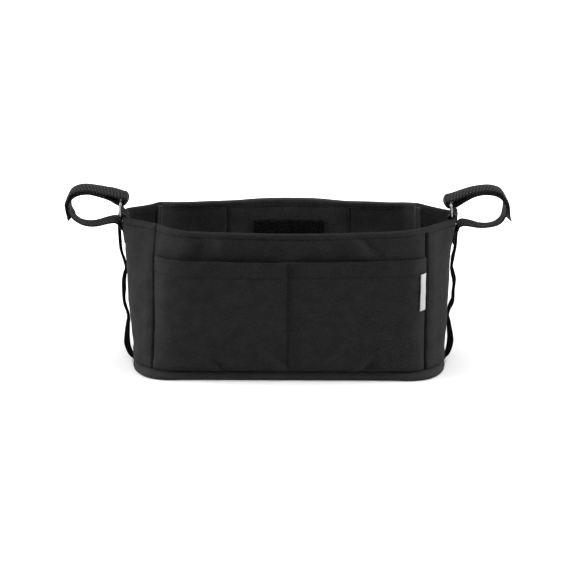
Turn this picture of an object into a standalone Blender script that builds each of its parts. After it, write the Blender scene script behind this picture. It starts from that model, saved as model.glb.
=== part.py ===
"""Stroller organizer: a soft open-topped bag with a front pocket, two cup wells and two strap loops.

Metres, +Z up, resting on its base at z = 0. X runs from end to end, the front faces -Y.
"""

import math

import bmesh
import bpy
import numpy as np

MM = 0.001

# Overall form, millimetres
HEIGHT = 160.0
BASE_END = 165.0
RIM_END = 175.5
BASE_TURN_UP = 9.5
CLEAR = 0.3
SEAM_GAP = 0.28
FOAM_GAP = 0.65

# Cloth stack, from the outer face inward
SHELL = 0.8
FOAM_OUT = SHELL + CLEAR
FOAM = 1.6
LINING_OUT = FOAM_OUT + FOAM + CLEAR
LINING = 0.6
INNER_OUT = LINING_OUT + LINING + CLEAR
HEM_DROP = 8.0
HEM_DEPTH = INNER_OUT + SHELL
LAYER_TOP = HEIGHT - SHELL - CLEAR

# Floor stack, from the ground up
BASE_PANEL = 0.9
BOARD_LOW = BASE_PANEL + CLEAR
BOARD = 2.0
FLOOR_LOW = BOARD_LOW + BOARD + CLEAR
FLOOR = 0.6
WALL_LAYER_LOW = FLOOR_LOW + FLOOR + CLEAR
FOAM_LOW = FLOOR_LOW
PANEL_LOW = BASE_TURN_UP + CLEAR

# Front pocket
POCKET_TOP = HEIGHT - 29.0
POCKET_HEM = 16.0
POCKET_FULL = POCKET_TOP - 21.0
POCKET_GAPE = 6.4
POCKET_BACK = CLEAR + SHELL + CLEAR + SHELL

# Dividers and inner trim
DIVIDER_X = 66.0
DIVIDER_THICK = 2.4
DIVIDER_TOP = HEIGHT - 48.0
DIVIDER_DIP = 7.0
PATCH_HALF = 38.0
PATCH_TALL = 50.0
PATCH_LOW = HEIGHT - 25.0 - PATCH_TALL
PATCH_THICK = 1.3
BINDING = 0.7
BINDING_HALF = 3.6

# Webbing, rings and tapes
WEB_WIDTH = 25.0
WEB = 1.6
RING_WIRE = 1.4
RING_HALF = WEB_WIDTH / 2 + CLEAR + RING_WIRE
RING_X = RIM_END - 2.9
RING_LOW = HEIGHT + 2.2
RING_HIGH = RING_LOW + 14.6
RING_CORNER = 2.1
TAPE_WIDTH = 10.0
TAPE = 1.0
TAPE_SLACK = 5.6
GRIP = 0.9
GRIP_WIDTH = 20.0

# Outline of one quarter at the base and at the rim, from the middle of the front to the end
BASE_QUARTER = [
    (0, 70), (30, 70), (60, 70), (90, 70), (110, 70), (127, 69.5), (142, 64.3),
    (152, 56.6), (159.5, 46.5), (163.7, 35), (BASE_END, 22), (BASE_END, 11), (BASE_END, 0),
]
RIM_FRONT_QUARTER = [
    (0, 72), (30, 71.2), (60, 69), (88, 66), (107, 62.5), (124.5, 55.5), (139, 43),
    (149, 35), (158, 27.7), (166.5, 21.3), (RIM_END - 2.3, 15.3), (RIM_END - 0.2, 9),
    (RIM_END, 0),
]
RIM_BACK_QUARTER = [
    (0, 64), (30, 62), (60, 57.5), (88, 55), (107, 53.5), (124, 50.5), (138.5, 43),
    (148, 34.5), (157.5, 27.5), (166, 21), (RIM_END - 2.5, 15.5), (RIM_END - 0.2, 9),
    (RIM_END, 0),
]
FRONT_STOPS = [0, 1, 2, 2.8, 3.5, 4.2, 4.8, 5.4, 6]
END_STOPS = [6.8, 7.6, 8.4, 9.2, 10, 11, 12]

# How far the outline has moved from the base shape to the rim shape at each height
BLEND_Z = [0.0, PANEL_LOW, 0.325 * HEIGHT, POCKET_FULL, POCKET_TOP, HEIGHT - HEM_DROP, HEIGHT]
BLEND_W = [0.0, 0.0, 0.4, 0.46, 0.62, 0.9, 1.0]


def clear_scene():
    for item in list(bpy.data.objects):
        bpy.data.objects.remove(item, do_unlink=True)
    for block in list(bpy.data.collections):
        bpy.data.collections.remove(block)


def new_collection(name):
    group = bpy.data.collections.new(name)
    bpy.context.scene.collection.children.link(group)
    return group


def cloth(name, color, rough, metallic=0.0):
    mat = bpy.data.materials.new(name)
    mat.use_nodes = True
    shader = mat.node_tree.nodes["Principled BSDF"]
    shader.inputs["Base Color"].default_value = (color[0], color[1], color[2], 1.0)
    shader.inputs["Roughness"].default_value = rough
    shader.inputs["Metallic"].default_value = metallic
    return mat


# Smooth curve through a list of points, read at a fractional index
def spline_at(points, t):
    pts = np.array(points, dtype=float)
    i = int(min(max(math.floor(t), 0), len(pts) - 2))
    u = t - i
    before = pts[i - 1] if i > 0 else 2 * pts[0] - pts[1]
    after = pts[i + 2] if i + 2 < len(pts) else 2 * pts[-1] - pts[-2]
    a = pts[i]
    b = pts[i + 1]
    return 0.5 * (
        2 * a + (b - before) * u + (2 * before - 5 * a + 4 * b - after) * u ** 2
        + (3 * a - before - 3 * b + after) * u ** 3
    )


def quarter(points):
    mirrored = [(-points[1][0], points[1][1])] + list(points) + [(points[-2][0], -points[-2][1])]
    stops = FRONT_STOPS + END_STOPS
    return [spline_at(mirrored, s + 1) for s in stops]


# Whole outline as columns: 0 is the middle of the front, counting anticlockwise seen from above
def full_outline(front, back):
    f = quarter(front)
    b = quarter(back)
    n = len(f) - 1
    ring = [(f[k][0], -f[k][1]) for k in range(n + 1)]
    ring += [(b[k][0], b[k][1]) for k in range(n - 1, -1, -1)]
    ring += [(-b[k][0], b[k][1]) for k in range(1, n + 1)]
    ring += [(-f[k][0], -f[k][1]) for k in range(n - 1, 0, -1)]
    return np.array(ring, dtype=float)


BASE_RING = full_outline(BASE_QUARTER, BASE_QUARTER)
RIM_RING = full_outline(RIM_FRONT_QUARTER, RIM_BACK_QUARTER)
COUNT = len(BASE_RING)
SEAM_RF = len(FRONT_STOPS) - 1
TIP_R = SEAM_RF + len(END_STOPS)
SEAM_RB = TIP_R + len(END_STOPS)
MID_BACK = COUNT // 2
SEAM_LB = MID_BACK + len(FRONT_STOPS) - 1
TIP_L = SEAM_LB + len(END_STOPS)
SEAM_LF = TIP_L + len(END_STOPS)


def ring_at(z):
    w = float(np.interp(z, BLEND_Z, BLEND_W))
    return BASE_RING * (1 - w) + RIM_RING * w


def ring_normals(ring):
    ahead = np.roll(ring, -1, axis=0) - ring
    behind = ring - np.roll(ring, 1, axis=0)
    ahead /= np.linalg.norm(ahead, axis=1)[:, None]
    behind /= np.linalg.norm(behind, axis=1)[:, None]
    tangent = ahead + behind
    half = np.linalg.norm(tangent, axis=1)[:, None]
    tangent /= half
    normal = np.stack([tangent[:, 1], -tangent[:, 0]], axis=1)
    return normal * (2.0 / half)


LEVELS = {z: (ring_at(z), ring_normals(ring_at(z))) for z in BLEND_Z}


def level(z):
    if z in LEVELS:
        return LEVELS[z]
    lo = max(v for v in BLEND_Z if v <= z)
    hi = min(v for v in BLEND_Z if v >= z)
    t = (z - lo) / (hi - lo)
    ring = LEVELS[lo][0] * (1 - t) + LEVELS[hi][0] * t
    normal = LEVELS[lo][1] * (1 - t) + LEVELS[hi][1] * t
    return ring, normal


# A point on the wall, at column c, height z, moved outward by the amount out(column, z)
def wall_point(c, z, out):
    ring, normal = level(z)
    k = int(math.floor(c + 1e-9))
    t = c - k
    ends = []
    for j in (k, k + 1):
        m = j % COUNT
        shift = out(j, z) if callable(out) else out
        ends.append(ring[m] + normal[m] * shift)
    xy = ends[0] * (1 - t) + ends[1] * t
    return (xy[0], xy[1], z)


def inset_columns(first, last, gap):
    low = gap / np.linalg.norm(BASE_RING[(first + 1) % COUNT] - BASE_RING[first % COUNT])
    high = gap / np.linalg.norm(BASE_RING[last % COUNT] - BASE_RING[(last - 1) % COUNT])
    return [first + low] + list(range(first + 1, last)) + [last - high]


def heights(low, high):
    return [low] + [z for z in BLEND_Z if low + 0.5 < z < high - 0.5] + [high]


def mesh_object(name, verts, faces, group, mat):
    mesh = bpy.data.meshes.new(name)
    mesh.from_pydata([(v[0] * MM, v[1] * MM, v[2] * MM) for v in verts], [], faces)
    mesh.validate()
    mesh.materials.append(mat)
    obj = bpy.data.objects.new(name, mesh)
    group.objects.link(obj)
    return obj


# A sheet from rows of points, each row running anticlockwise, rows going up the outside.
# Wall sheets are split into triangles that all lean the same way, so that stacked layers stay parallel.
def sheet(name, rows, group, mat, closed=False, split=True):
    n = len(rows[0])
    verts = [p for row in rows for p in row]
    faces = []
    for r in range(len(rows) - 1):
        rising = rows[r + 1][0][2] >= rows[r][0][2]
        for k in range(n if closed else n - 1):
            a = r * n + k
            b = r * n + (k + 1) % n
            if not split:
                faces.append((a, b, b + n, a + n))
            elif rising:
                faces.append((a, b, b + n))
                faces.append((a, b + n, a + n))
            else:
                faces.append((a, b, a + n))
                faces.append((b, b + n, a + n))
    return mesh_object(name, verts, faces, group, mat)


def thicken(obj, thickness, offset=-1.0):
    mod = obj.modifiers.new("cloth thickness", "SOLIDIFY")
    mod.thickness = thickness * MM
    mod.offset = offset
    mod.use_even_offset = True
    mod.use_quality_normals = True
    return obj


# Wall cloth between two columns: an outer face at one depth, given thickness inward
def wall_layer(name, columns, zs, depth, thickness, group, mat):
    rows = [[wall_point(c, z, -depth) for c in columns] for z in zs]
    return thicken(sheet(name, rows, group, mat), thickness)


# Shell panel: up the outside, over the top edge and down inside as the folded hem
def shell_panel(name, columns, group, mat):
    rows = [[wall_point(c, z, 0.0) for c in columns] for z in heights(PANEL_LOW, HEIGHT)]
    rows.append([wall_point(c, HEIGHT, -HEM_DEPTH) for c in columns])
    rows.append([wall_point(c, HEIGHT - HEM_DROP, -HEM_DEPTH) for c in columns])
    return thicken(sheet(name, rows, group, mat), SHELL)


# Strip of webbing: a path in the X-Z plane, drawn out along Y and given thickness both ways
def strip(name, path, width, thickness, side, group, mat):
    rows = []
    for y in (-width / 2, width / 2):
        rows.append([(side * p[0], y, p[1]) for p in path])
    return thicken(sheet(name, rows, group, mat, split=False), thickness, 0.0)


def smooth_path(points, steps):
    out = []
    for i in range(len(points) - 1):
        for j in range(steps):
            out.append(tuple(spline_at(points, i + j / steps)))
    out.append(tuple(points[-1]))
    return out


def arc(cx, cz, radius, start, stop, count):
    out = []
    for i in range(count + 1):
        a = math.radians(start + (stop - start) * i / count)
        out.append((cx + radius * math.cos(a), cz + radius * math.sin(a)))
    return out


# Path moved sideways by its own amount at each point, to the left of travel
def offset_path(points, amounts):
    out = []
    for i, p in enumerate(points):
        a = points[max(i - 1, 0)]
        b = points[min(i + 1, len(points) - 1)]
        dx = b[0] - a[0]
        dz = b[1] - a[1]
        n = math.hypot(dx, dz)
        out.append((p[0] - dz / n * amounts[i], p[1] + dx / n * amounts[i]))
    return out


def pocket_out(c, z):
    c = c % COUNT
    low, high = (SEAM_LF, COUNT) if c > MID_BACK else (0, SEAM_RF)
    ring = ring_at(z)
    a = ring[low % COUNT][0]
    b = ring[high % COUNT][0]
    h = (ring[c % COUNT][0] - a) / (b - a)
    stops = [PANEL_LOW, POCKET_FULL, POCKET_TOP]
    rise = float(np.interp(z, stops, [0.0, 0.8, 1.0]))
    back = float(np.interp(z, stops, [CLEAR + SHELL, POCKET_BACK, POCKET_BACK]))
    return back + POCKET_GAPE * math.sin(math.pi * min(max(h, 0.0), 1.0)) * rise


# Where a wall face at one depth crosses a given x, between two columns
def inner_y(x, z, depth, first, last):
    ring, normal = level(z)
    pts = ring - normal * depth
    best = 0.0
    for k in range(first, last):
        a = pts[k]
        b = pts[k + 1]
        if min(a[0], b[0]) <= x <= max(a[0], b[0]):
            t = (x - a[0]) / (b[0] - a[0])
            best = a[1] * (1 - t) + b[1] * t
    return best


def back_column(x, z):
    ring = ring_at(z)
    for k in range(SEAM_RB, SEAM_LB):
        if ring[k + 1][0] <= x <= ring[k][0]:
            return k + (ring[k][0] - x) / (ring[k][0] - ring[k + 1][0])
    return float(MID_BACK)


clear_scene()
bag = new_collection("stroller_organizer")

shell_black = cloth("shell_woven_polyester", (0.012, 0.012, 0.013), 0.8)

# Walls of the shell, with their folded top hem
panels = {
    "front_panel": (SEAM_LF, COUNT + SEAM_RF),
    "right_end_panel": (SEAM_RF, SEAM_RB),
    "back_panel": (SEAM_RB, SEAM_LB),
    "left_end_panel": (SEAM_LB, SEAM_LF),
}
for panel_name, (first, last) in panels.items():
    panel_cloth = cloth(panel_name + "_cloth", (0.012, 0.012, 0.013), 0.8)
    shell_panel(panel_name, inset_columns(first, last, SEAM_GAP), bag, panel_cloth)

# Base panel: flat floor, small turned edge, and the band that stands up to meet the walls
loop = list(range(COUNT))
base_rows = []
for z, depth in ((0.0, 3.6), (1.1, 1.1), (3.6, 0.0), (BASE_TURN_UP, 0.0)):
    ring, normal = level(0.0)
    base_rows.append([(p[0], p[1], z) for p in ring - normal * depth])
base_mat = cloth("base_panel_cloth", (0.011, 0.011, 0.012), 0.82)
base = sheet("base_panel", base_rows, bag, base_mat, closed=True)
floor_mesh = bmesh.new()
floor_mesh.from_mesh(base.data)
floor_mesh.verts.ensure_lookup_table()
floor_mesh.faces.new([floor_mesh.verts[k] for k in reversed(loop)])
floor_mesh.to_mesh(base.data)
floor_mesh.free()
thicken(base, BASE_PANEL)


# Flat sheet filling the outline at one depth
def floor_sheet(name, z, depth, thickness, mat):
    ring, normal = level(0.0)
    pts = ring - normal * depth
    verts = [(p[0], p[1], z + thickness) for p in pts]
    return thicken(mesh_object(name, verts, [tuple(loop)], bag, mat), thickness)


floor_sheet("base_board", BOARD_LOW, 3.4, BOARD, cloth("board_plastic", (0.03, 0.03, 0.03), 0.5))
floor_mat = cloth("floor_lining_cloth", (0.014, 0.014, 0.015), 0.75)
floor_sheet("floor_lining", FLOOR_LOW, LINING_OUT, FLOOR, floor_mat)

# Foam in each wall
foams = {
    "front_foam": (SEAM_LF, COUNT + SEAM_RF),
    "right_end_foam": (SEAM_RF, SEAM_RB),
    "back_foam": (SEAM_RB, SEAM_LB),
    "left_end_foam": (SEAM_LB, SEAM_LF),
}
for foam_name, (first, last) in foams.items():
    foam_mat = cloth(foam_name + "_sheet", (0.35, 0.35, 0.36), 0.9)
    columns = inset_columns(first, last, FOAM_GAP)
    wall_layer(foam_name, columns, heights(FOAM_LOW + 1.0, LAYER_TOP), FOAM_OUT, FOAM, bag, foam_mat)

# Linings; the back one is in three widths, parted where the dividers stand
right_part = back_column(DIVIDER_X, POCKET_FULL)
left_part = back_column(-DIVIDER_X, POCKET_FULL)
step = CLEAR / 2 / 22.0


def between(low, high):
    return [low] + [k for k in range(math.ceil(low + 0.05), math.floor(high - 0.05) + 1)] + [high]


front_columns = inset_columns(SEAM_LF, COUNT + SEAM_RF, SEAM_GAP)
back_columns = inset_columns(SEAM_RB, SEAM_LB, SEAM_GAP)
linings = {
    "front_lining": front_columns,
    "right_end_lining": inset_columns(SEAM_RF, SEAM_RB, SEAM_GAP),
    "back_lining_right": between(back_columns[0], right_part - step),
    "back_lining_centre": between(right_part + step, left_part - step),
    "back_lining_left": between(left_part + step, back_columns[-1]),
    "left_end_lining": inset_columns(SEAM_LB, SEAM_LF, SEAM_GAP),
}
for lining_name, columns in linings.items():
    lining_mat = cloth(lining_name + "_cloth", (0.014, 0.014, 0.015), 0.7)
    wall_layer(lining_name, columns, heights(WALL_LAYER_LOW, LAYER_TOP), LINING_OUT, LINING, bag, lining_mat)

# Binding tapes over the four inner corner seams
bindings = {
    "binding_front_right": SEAM_RF,
    "binding_back_right": SEAM_RB,
    "binding_back_left": SEAM_LB,
    "binding_front_left": SEAM_LF,
}
for binding_name, c in bindings.items():
    before = BINDING_HALF / np.linalg.norm(BASE_RING[c % COUNT] - BASE_RING[(c - 1) % COUNT])
    after = BINDING_HALF / np.linalg.norm(BASE_RING[(c + 1) % COUNT] - BASE_RING[c % COUNT])
    tape_zs = heights(WALL_LAYER_LOW, HEIGHT - HEM_DROP - CLEAR)
    tape_mat = cloth(binding_name + "_tape", (0.01, 0.01, 0.011), 0.6)
    wall_layer(binding_name, [c - before, c, c + after], tape_zs, INNER_OUT + 0.15, BINDING, bag, tape_mat)

# Dividers that part the cup wells from the middle
for side, divider_name in ((-1, "divider_left"), (1, "divider_right")):
    rows = []
    for z in heights(WALL_LAYER_LOW, DIVIDER_TOP):
        faces_x = (DIVIDER_X - DIVIDER_THICK / 2, DIVIDER_X + DIVIDER_THICK / 2)
        back_y = min(inner_y(x, z, INNER_OUT, SEAM_RB, MID_BACK) for x in faces_x) - 0.1
        front_y = max(inner_y(x, z, INNER_OUT, 0, SEAM_RF) for x in faces_x) + 0.1
        share = max(2.0 * z / DIVIDER_TOP - 1.0, 0.0)
        row = []
        for f in (0.0, 0.2, 0.5, 0.8, 1.0):
            dip = DIVIDER_DIP * math.sin(f * math.pi) * share
            row.append((side * DIVIDER_X, front_y + f * (back_y - front_y), z - dip))
        rows.append(row)
    divider_mat = cloth(divider_name + "_cloth", (0.013, 0.013, 0.014), 0.75)
    thicken(sheet(divider_name, rows, bag, divider_mat, split=False), DIVIDER_THICK, 0.0)

# Patch of loop tape inside the back, with rounded corners
patch_rows = []
patch_steps = [0.0, 1.5, 5.0, PATCH_TALL - 5.0, PATCH_TALL - 1.5, PATCH_TALL]
patch_knots = [z - PATCH_LOW for z in BLEND_Z if PATCH_LOW + 0.2 < z < PATCH_LOW + PATCH_TALL - 0.2]
for step_z in sorted(set(patch_steps + patch_knots)):
    trim = float(np.interp(step_z, patch_steps, [5.0, 1.5, 0.0, 0.0, 1.5, 5.0]))
    half = PATCH_HALF - trim
    ends = (back_column(half, POCKET_FULL), back_column(-half, POCKET_FULL))
    row_columns = between(ends[0], ends[1])
    patch_rows.append([wall_point(c, PATCH_LOW + step_z, -INNER_OUT) for c in row_columns])
patch = sheet("loop_patch", patch_rows, bag, cloth("loop_patch_pile", (0.006, 0.006, 0.007), 0.95))
thicken(patch, PATCH_THICK)

# Front pocket: its face stands off in each half, its hem folds inward
pocket_columns = inset_columns(SEAM_LF, COUNT + SEAM_RF, CLEAR)
pocket_zs = heights(PANEL_LOW, POCKET_TOP)
pocket_rows = [[wall_point(c, z, pocket_out) for c in pocket_columns] for z in pocket_zs]
fold = SHELL + CLEAR + SHELL
for z in (POCKET_TOP, POCKET_TOP - POCKET_HEM):
    pocket_rows.append([wall_point(c, z, lambda k, h: pocket_out(k, h) - fold) for c in pocket_columns])
pocket_mat = cloth("front_pocket_cloth", (0.012, 0.012, 0.013), 0.8)
thicken(sheet("front_pocket", pocket_rows, bag, pocket_mat), SHELL)

# Side label on the pocket, against the right corner seam
label_width = 8.0 / np.linalg.norm(BASE_RING[SEAM_RF] - BASE_RING[SEAM_RF - 1])
label_columns = between(COUNT + SEAM_RF - label_width, COUNT + SEAM_RF - 0.06)
label_rows = []
for z in heights(0.444 * HEIGHT, 0.7 * HEIGHT):
    label_rows.append([wall_point(c, z, lambda k, h: pocket_out(k, h) + CLEAR + 0.9) for c in label_columns])
thicken(sheet("side_label", label_rows, bag, cloth("side_label_weave", (0.35, 0.35, 0.36), 0.6)), 0.9)


# Outer face of the shell at the middle of an end
def end_face(z):
    return float(np.interp(z, BLEND_Z, [level(v)[0][TIP_R][0] for v in BLEND_Z]))


# Straps: sewn to the end, out and round, through the ring and back over themselves
web_off = CLEAR + WEB / 2
ring_wrap = RING_WIRE + CLEAR + WEB / 2


# Point beside the end wall: this far below the rim, this far out from the wall
def beside(drop, out):
    z = HEIGHT - drop
    return (end_face(z) + out, z)


# Points of a path given as distance out from the ring and height above the rim
def from_ring(points):
    return [(RING_X + x, HEIGHT + z) for x, z in points]


lower = [beside(29.0, web_off), beside(22.0, web_off), beside(15.0, web_off + 0.1)]
lower += from_ring([
    (3.8, -10.0), (7.2, -7.5), (11.9, -6.6), (17.9, -6.8), (24.9, -8.2), (31.9, -9.4), (38.9, -9.4),
    (45.4, -8.0), (50.4, -5.0), (54.0, -0.2), (55.9, 5.5),
])
upper = from_ring([
    (55.9, 5.5), (56.5, 11.2), (55.2, 16.8), (51.8, 21.3), (46.2, 24.3), (39.4, 25.4),
    (32.2, 24.7), (25.2, 22.6), (18.2, 20.2), (11.8, 17.8), (6.0, 15.5),
])
LAP = WEB + 2 * (0.25 + GRIP) + CLEAR + 0.2
apart = [LAP, LAP, LAP, LAP, LAP, LAP - 0.2, WEB + 1.6, WEB + 1.0, WEB + 1.0, WEB + 1.6, 2 * ring_wrap - 0.8]
upper_smooth = smooth_path(upper, 2)
apart_smooth = [float(np.interp(i / 2, range(len(apart)), apart)) for i in range(len(upper_smooth))]
outer_smooth = offset_path(upper_smooth, [-a for a in apart_smooth])
strap_path = smooth_path(lower, 2)[:-1] + upper_smooth
strap_path += arc(RING_X, RING_HIGH, ring_wrap, 285.0, 75.0, 7)
strap_path += list(reversed(outer_smooth))
strap_path += from_ring([(60.3, 0.0), (60.6, -6.0), (61.4, -12.0)])

grip_part = upper_smooth[1:11]
loop_side = offset_path(grip_part, [-(WEB / 2 + 0.25 + GRIP / 2)] * len(grip_part))
hook_side = offset_path(grip_part, [-(WEB / 2 + 0.25 + GRIP + CLEAR + GRIP / 2)] * len(grip_part))

# Tab of webbing over the ring's lower bar, one leg outside the rim and one inside
tab_path = [beside(6.6, web_off), beside(0.2, web_off)]
tab_path += arc(RING_X, RING_LOW, ring_wrap, 0.0, 180.0, 8)
tab_path += from_ring([(-3.9, 1.2), (-5.1, -0.4), (-6.4, -13.5)])

# Narrow side tape: sewn over the strap's end, then three slack loops down the wall.
# Each stop is a share of the height and a distance out from where the tape lies flat.
lay = CLEAR + TAPE / 2
over_strap = CLEAR + WEB + 0.5
tape_stops = [
    (0.922, over_strap), (0.881, over_strap), (0.831, 4.8), (0.775, TAPE_SLACK), (0.7125, 4.5),
    (0.659, 0.4), (0.6375, 0.0), (0.609, 0.0), (0.5875, 0.9), (0.5375, 4.7), (0.475, TAPE_SLACK),
    (0.4, 4.7), (0.3375, 1.0), (0.3156, 0.0), (0.2844, 0.0), (0.2625, 0.9), (0.2156, 4.5),
    (0.1625, TAPE_SLACK), (0.106, 4.3), (0.0594, 0.6), (0.0406, 0.1), (0.02375, 0.0),
]
tape_path = [beside(HEIGHT * (1.0 - share), lay + out) for share, out in tape_stops]


# Ring of round wire in the Y-Z plane, through the strap above and the tab below
def ring_curve(name, side, mat):
    pts = []
    low = RING_LOW
    high = RING_HIGH
    half = RING_HALF
    for cy, cz, start in ((half, high, 0), (-half, high, 90), (-half, low, 180), (half, low, 270)):
        oy = cy - math.copysign(RING_CORNER, cy)
        oz = cz - RING_CORNER if cz == high else cz + RING_CORNER
        for i in range(4):
            a = math.radians(start + 30 * i)
            pts.append((side * RING_X, oy + RING_CORNER * math.cos(a), oz + RING_CORNER * math.sin(a)))
    curve = bpy.data.curves.new(name, "CURVE")
    curve.dimensions = "3D"
    curve.bevel_depth = RING_WIRE * MM
    curve.bevel_resolution = 2
    line = curve.splines.new("POLY")
    line.points.add(len(pts) - 1)
    for point, p in zip(line.points, pts):
        point.co = (p[0] * MM, p[1] * MM, p[2] * MM, 1.0)
    line.use_cyclic_u = True
    curve.materials.append(mat)
    obj = bpy.data.objects.new(name, curve)
    bag.objects.link(obj)
    return obj


for side, word in ((-1, "left"), (1, "right")):
    web_mat = cloth(word + "_strap_webbing", (0.013, 0.013, 0.014), 0.7)
    tab_mat = cloth(word + "_tab_webbing", (0.013, 0.013, 0.014), 0.7)
    tape_mat = cloth(word + "_tape_webbing", (0.012, 0.012, 0.013), 0.7)
    loop_mat = cloth(word + "_loop_pile", (0.007, 0.007, 0.008), 0.95)
    hook_mat = cloth(word + "_hook_face", (0.01, 0.01, 0.011), 0.5)
    steel = cloth(word + "_ring_steel", (0.6, 0.6, 0.62), 0.25, 1.0)
    strip(word + "_strap", strap_path, WEB_WIDTH, WEB, side, bag, web_mat)
    strip(word + "_strap_loop_tape", loop_side, GRIP_WIDTH, GRIP, side, bag, loop_mat)
    strip(word + "_strap_hook_tape", hook_side, GRIP_WIDTH, GRIP, side, bag, hook_mat)
    strip(word + "_ring_tab", tab_path, WEB_WIDTH, WEB, side, bag, tab_mat)
    strip(word + "_side_tape", tape_path, TAPE_WIDTH, TAPE, side, bag, tape_mat)
    ring_curve(word + "_ring", side, steel)
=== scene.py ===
"""Looks of a stroller organizer: an open bag of black woven cloth with strap loops, rings and side tapes."""

import math

import bmesh
import bpy
import numpy as np
from mathutils import Matrix, Vector


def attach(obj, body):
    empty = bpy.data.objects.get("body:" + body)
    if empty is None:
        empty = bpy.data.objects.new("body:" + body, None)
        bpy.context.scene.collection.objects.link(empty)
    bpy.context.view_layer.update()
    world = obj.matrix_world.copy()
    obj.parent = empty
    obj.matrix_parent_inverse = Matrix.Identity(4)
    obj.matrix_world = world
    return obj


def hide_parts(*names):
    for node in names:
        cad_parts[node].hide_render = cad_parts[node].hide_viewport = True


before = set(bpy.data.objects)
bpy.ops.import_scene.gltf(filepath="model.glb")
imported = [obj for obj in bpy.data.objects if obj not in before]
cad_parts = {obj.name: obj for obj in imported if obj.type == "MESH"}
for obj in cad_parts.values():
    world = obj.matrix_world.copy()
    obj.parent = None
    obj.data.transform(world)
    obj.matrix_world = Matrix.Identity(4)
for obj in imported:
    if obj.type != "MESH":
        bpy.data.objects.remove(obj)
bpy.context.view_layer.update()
MM = 0.001

# Shell walls: four panels of black woven polyester over foam, sewn together at the corners.
# Each is pulled in at its seams, stands full between them, and is rolled over the rim into a stitched hem.
# Their outlines, at the base seam and at the rim, run from the middle of the front or back to an end.
BASE_QUARTER = [
    (0, 70), (30, 70), (60, 70), (90, 70), (110, 70), (127, 69.5), (142, 64.3),
    (152, 56.6), (159.5, 46.5), (163.7, 35), (165, 22), (165, 11), (165, 0),
]
RIM_FRONT_RIGHT = [
    (0, 72.3), (30, 71.4), (60, 69), (88, 65.6), (107, 62), (125, 57), (141.5, 46.5),
    (150.5, 38), (159, 29.5), (167, 22), (173.3, 15.5), (175.3, 9), (175.5, 0),
]
RIM_FRONT_LEFT = [
    (0, 72.3), (30, 71.4), (60, 69.2), (88, 66.4), (107, 63.4), (124, 54), (137, 39.5),
    (147, 32), (157, 26), (166, 20.5), (173, 15), (175.3, 9), (175.5, 0),
]
RIM_BACK = [
    (0, 64), (30, 62), (60, 57.5), (88, 55), (107, 53.5), (124, 50.5), (138.5, 43),
    (148, 34.5), (157.5, 27.5), (166, 21), (173, 15.5), (175.3, 9), (175.5, 0),
]
# How far the rim dips below its plain height, round the right end and round the left end
DROP_RIGHT = [-0.6, -0.6, 0.7, 0.7, 1.1, 0.2, -1.0, -0.9, -0.6, -0.6, -0.6, -0.5, -0.5]
DROP_LEFT = [-0.6, -0.5, 0.5, 1.0, 1.4, 0.8, -1.3, -1.3, -1.4, -2.0, -2.0, -1.4]
# A position round the wall is k: 0 at the middle of the front, anticlockwise, 12 to a quarter
ROUND = 48
SEAM_RF, TIP_R, SEAM_RB, MID_BACK, SEAM_LB, TIP_L, SEAM_LF = 6, 12, 18, 24, 30, 36, 42
RIM = 160.0
SEAM_Z = 9.8
# Stitching line of the hem, radius of the fold over the rim, and thickness of the cloth
HEM_Z, FOLD_R, SHELL_THICK = 153.6, 2.3, 0.7


def loop_of(front_right, back_right, back_left, front_left):
    pts = [(x, -y) for x, y in front_right[:12]]
    pts += [(x, y) for x, y in back_right[:0:-1]]
    pts += [(-x, y) for x, y in back_left[:12]]
    pts += [(-x, -y) for x, y in front_left[:0:-1]]
    return np.array(pts, dtype=float)


BASE_LOOP = loop_of(BASE_QUARTER, BASE_QUARTER, BASE_QUARTER, BASE_QUARTER)
RIM_LOOP = loop_of(RIM_FRONT_RIGHT, RIM_BACK, RIM_BACK, RIM_FRONT_LEFT)
DROP_LOOP = np.array([0.0] * 11 + [-0.3] + DROP_RIGHT[::-1] + DROP_LEFT[1:12] + [-0.8, -0.4] + [0.0] * 10)
# How far the wall has gone over from the base outline to the rim outline at each height
RISE_Z = np.linspace(0.0, RIM, 161)
RISE_W = np.interp(RISE_Z, [0, SEAM_Z, 30, 52, 80, 110, 131, 146, RIM],
                   [0, 0, 0.2, 0.39, 0.44, 0.47, 0.6, 0.8, 1.0])
for _ in range(12):
    RISE_W[1:-1] = (RISE_W[:-2] + 2 * RISE_W[1:-1] + RISE_W[2:]) / 4


# A smooth curve's point between p1 and p2, u of the way
def smooth_between(p0, p1, p2, p3, u):
    return 0.5 * (2 * p1 + (p2 - p0) * u + (2 * p0 - 5 * p1 + 4 * p2 - p3) * u ** 2
                  + (3 * p1 - p0 - 3 * p2 + p3) * u ** 3)


# Smooth closed curve through a loop of points, read at positions k
def round_loop(points, k):
    k = np.mod(k, len(points))
    i = np.floor(k).astype(int)
    u = k - i
    if points.ndim == 2:
        u = u[..., None]
    return smooth_between(*(points[(i + j) % len(points)] for j in (-1, 0, 1, 2)), u)


# Points on the wall at position k and height z, moved outward by d; all in millimetres
def wall(k, z, d=0.0):
    k, z, d = np.broadcast_arrays(np.asarray(k, float), np.asarray(z, float), np.asarray(d, float))
    w = np.interp(z, RISE_Z, RISE_W)[..., None]
    here = round_loop(BASE_LOOP, k) * (1 - w) + round_loop(RIM_LOOP, k) * w
    ahead = round_loop(BASE_LOOP, k + 0.02) * (1 - w) + round_loop(RIM_LOOP, k + 0.02) * w
    behind = round_loop(BASE_LOOP, k - 0.02) * (1 - w) + round_loop(RIM_LOOP, k - 0.02) * w
    t = ahead - behind
    t /= np.linalg.norm(t, axis=-1, keepdims=True)
    xy = here + np.stack([t[..., 1], -t[..., 0]], axis=-1) * d[..., None]
    lowered = z - round_loop(DROP_LOOP, k) * np.clip(z / RIM, 0, 1) ** 3
    return np.concatenate([xy, lowered[..., None]], axis=-1)


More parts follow.
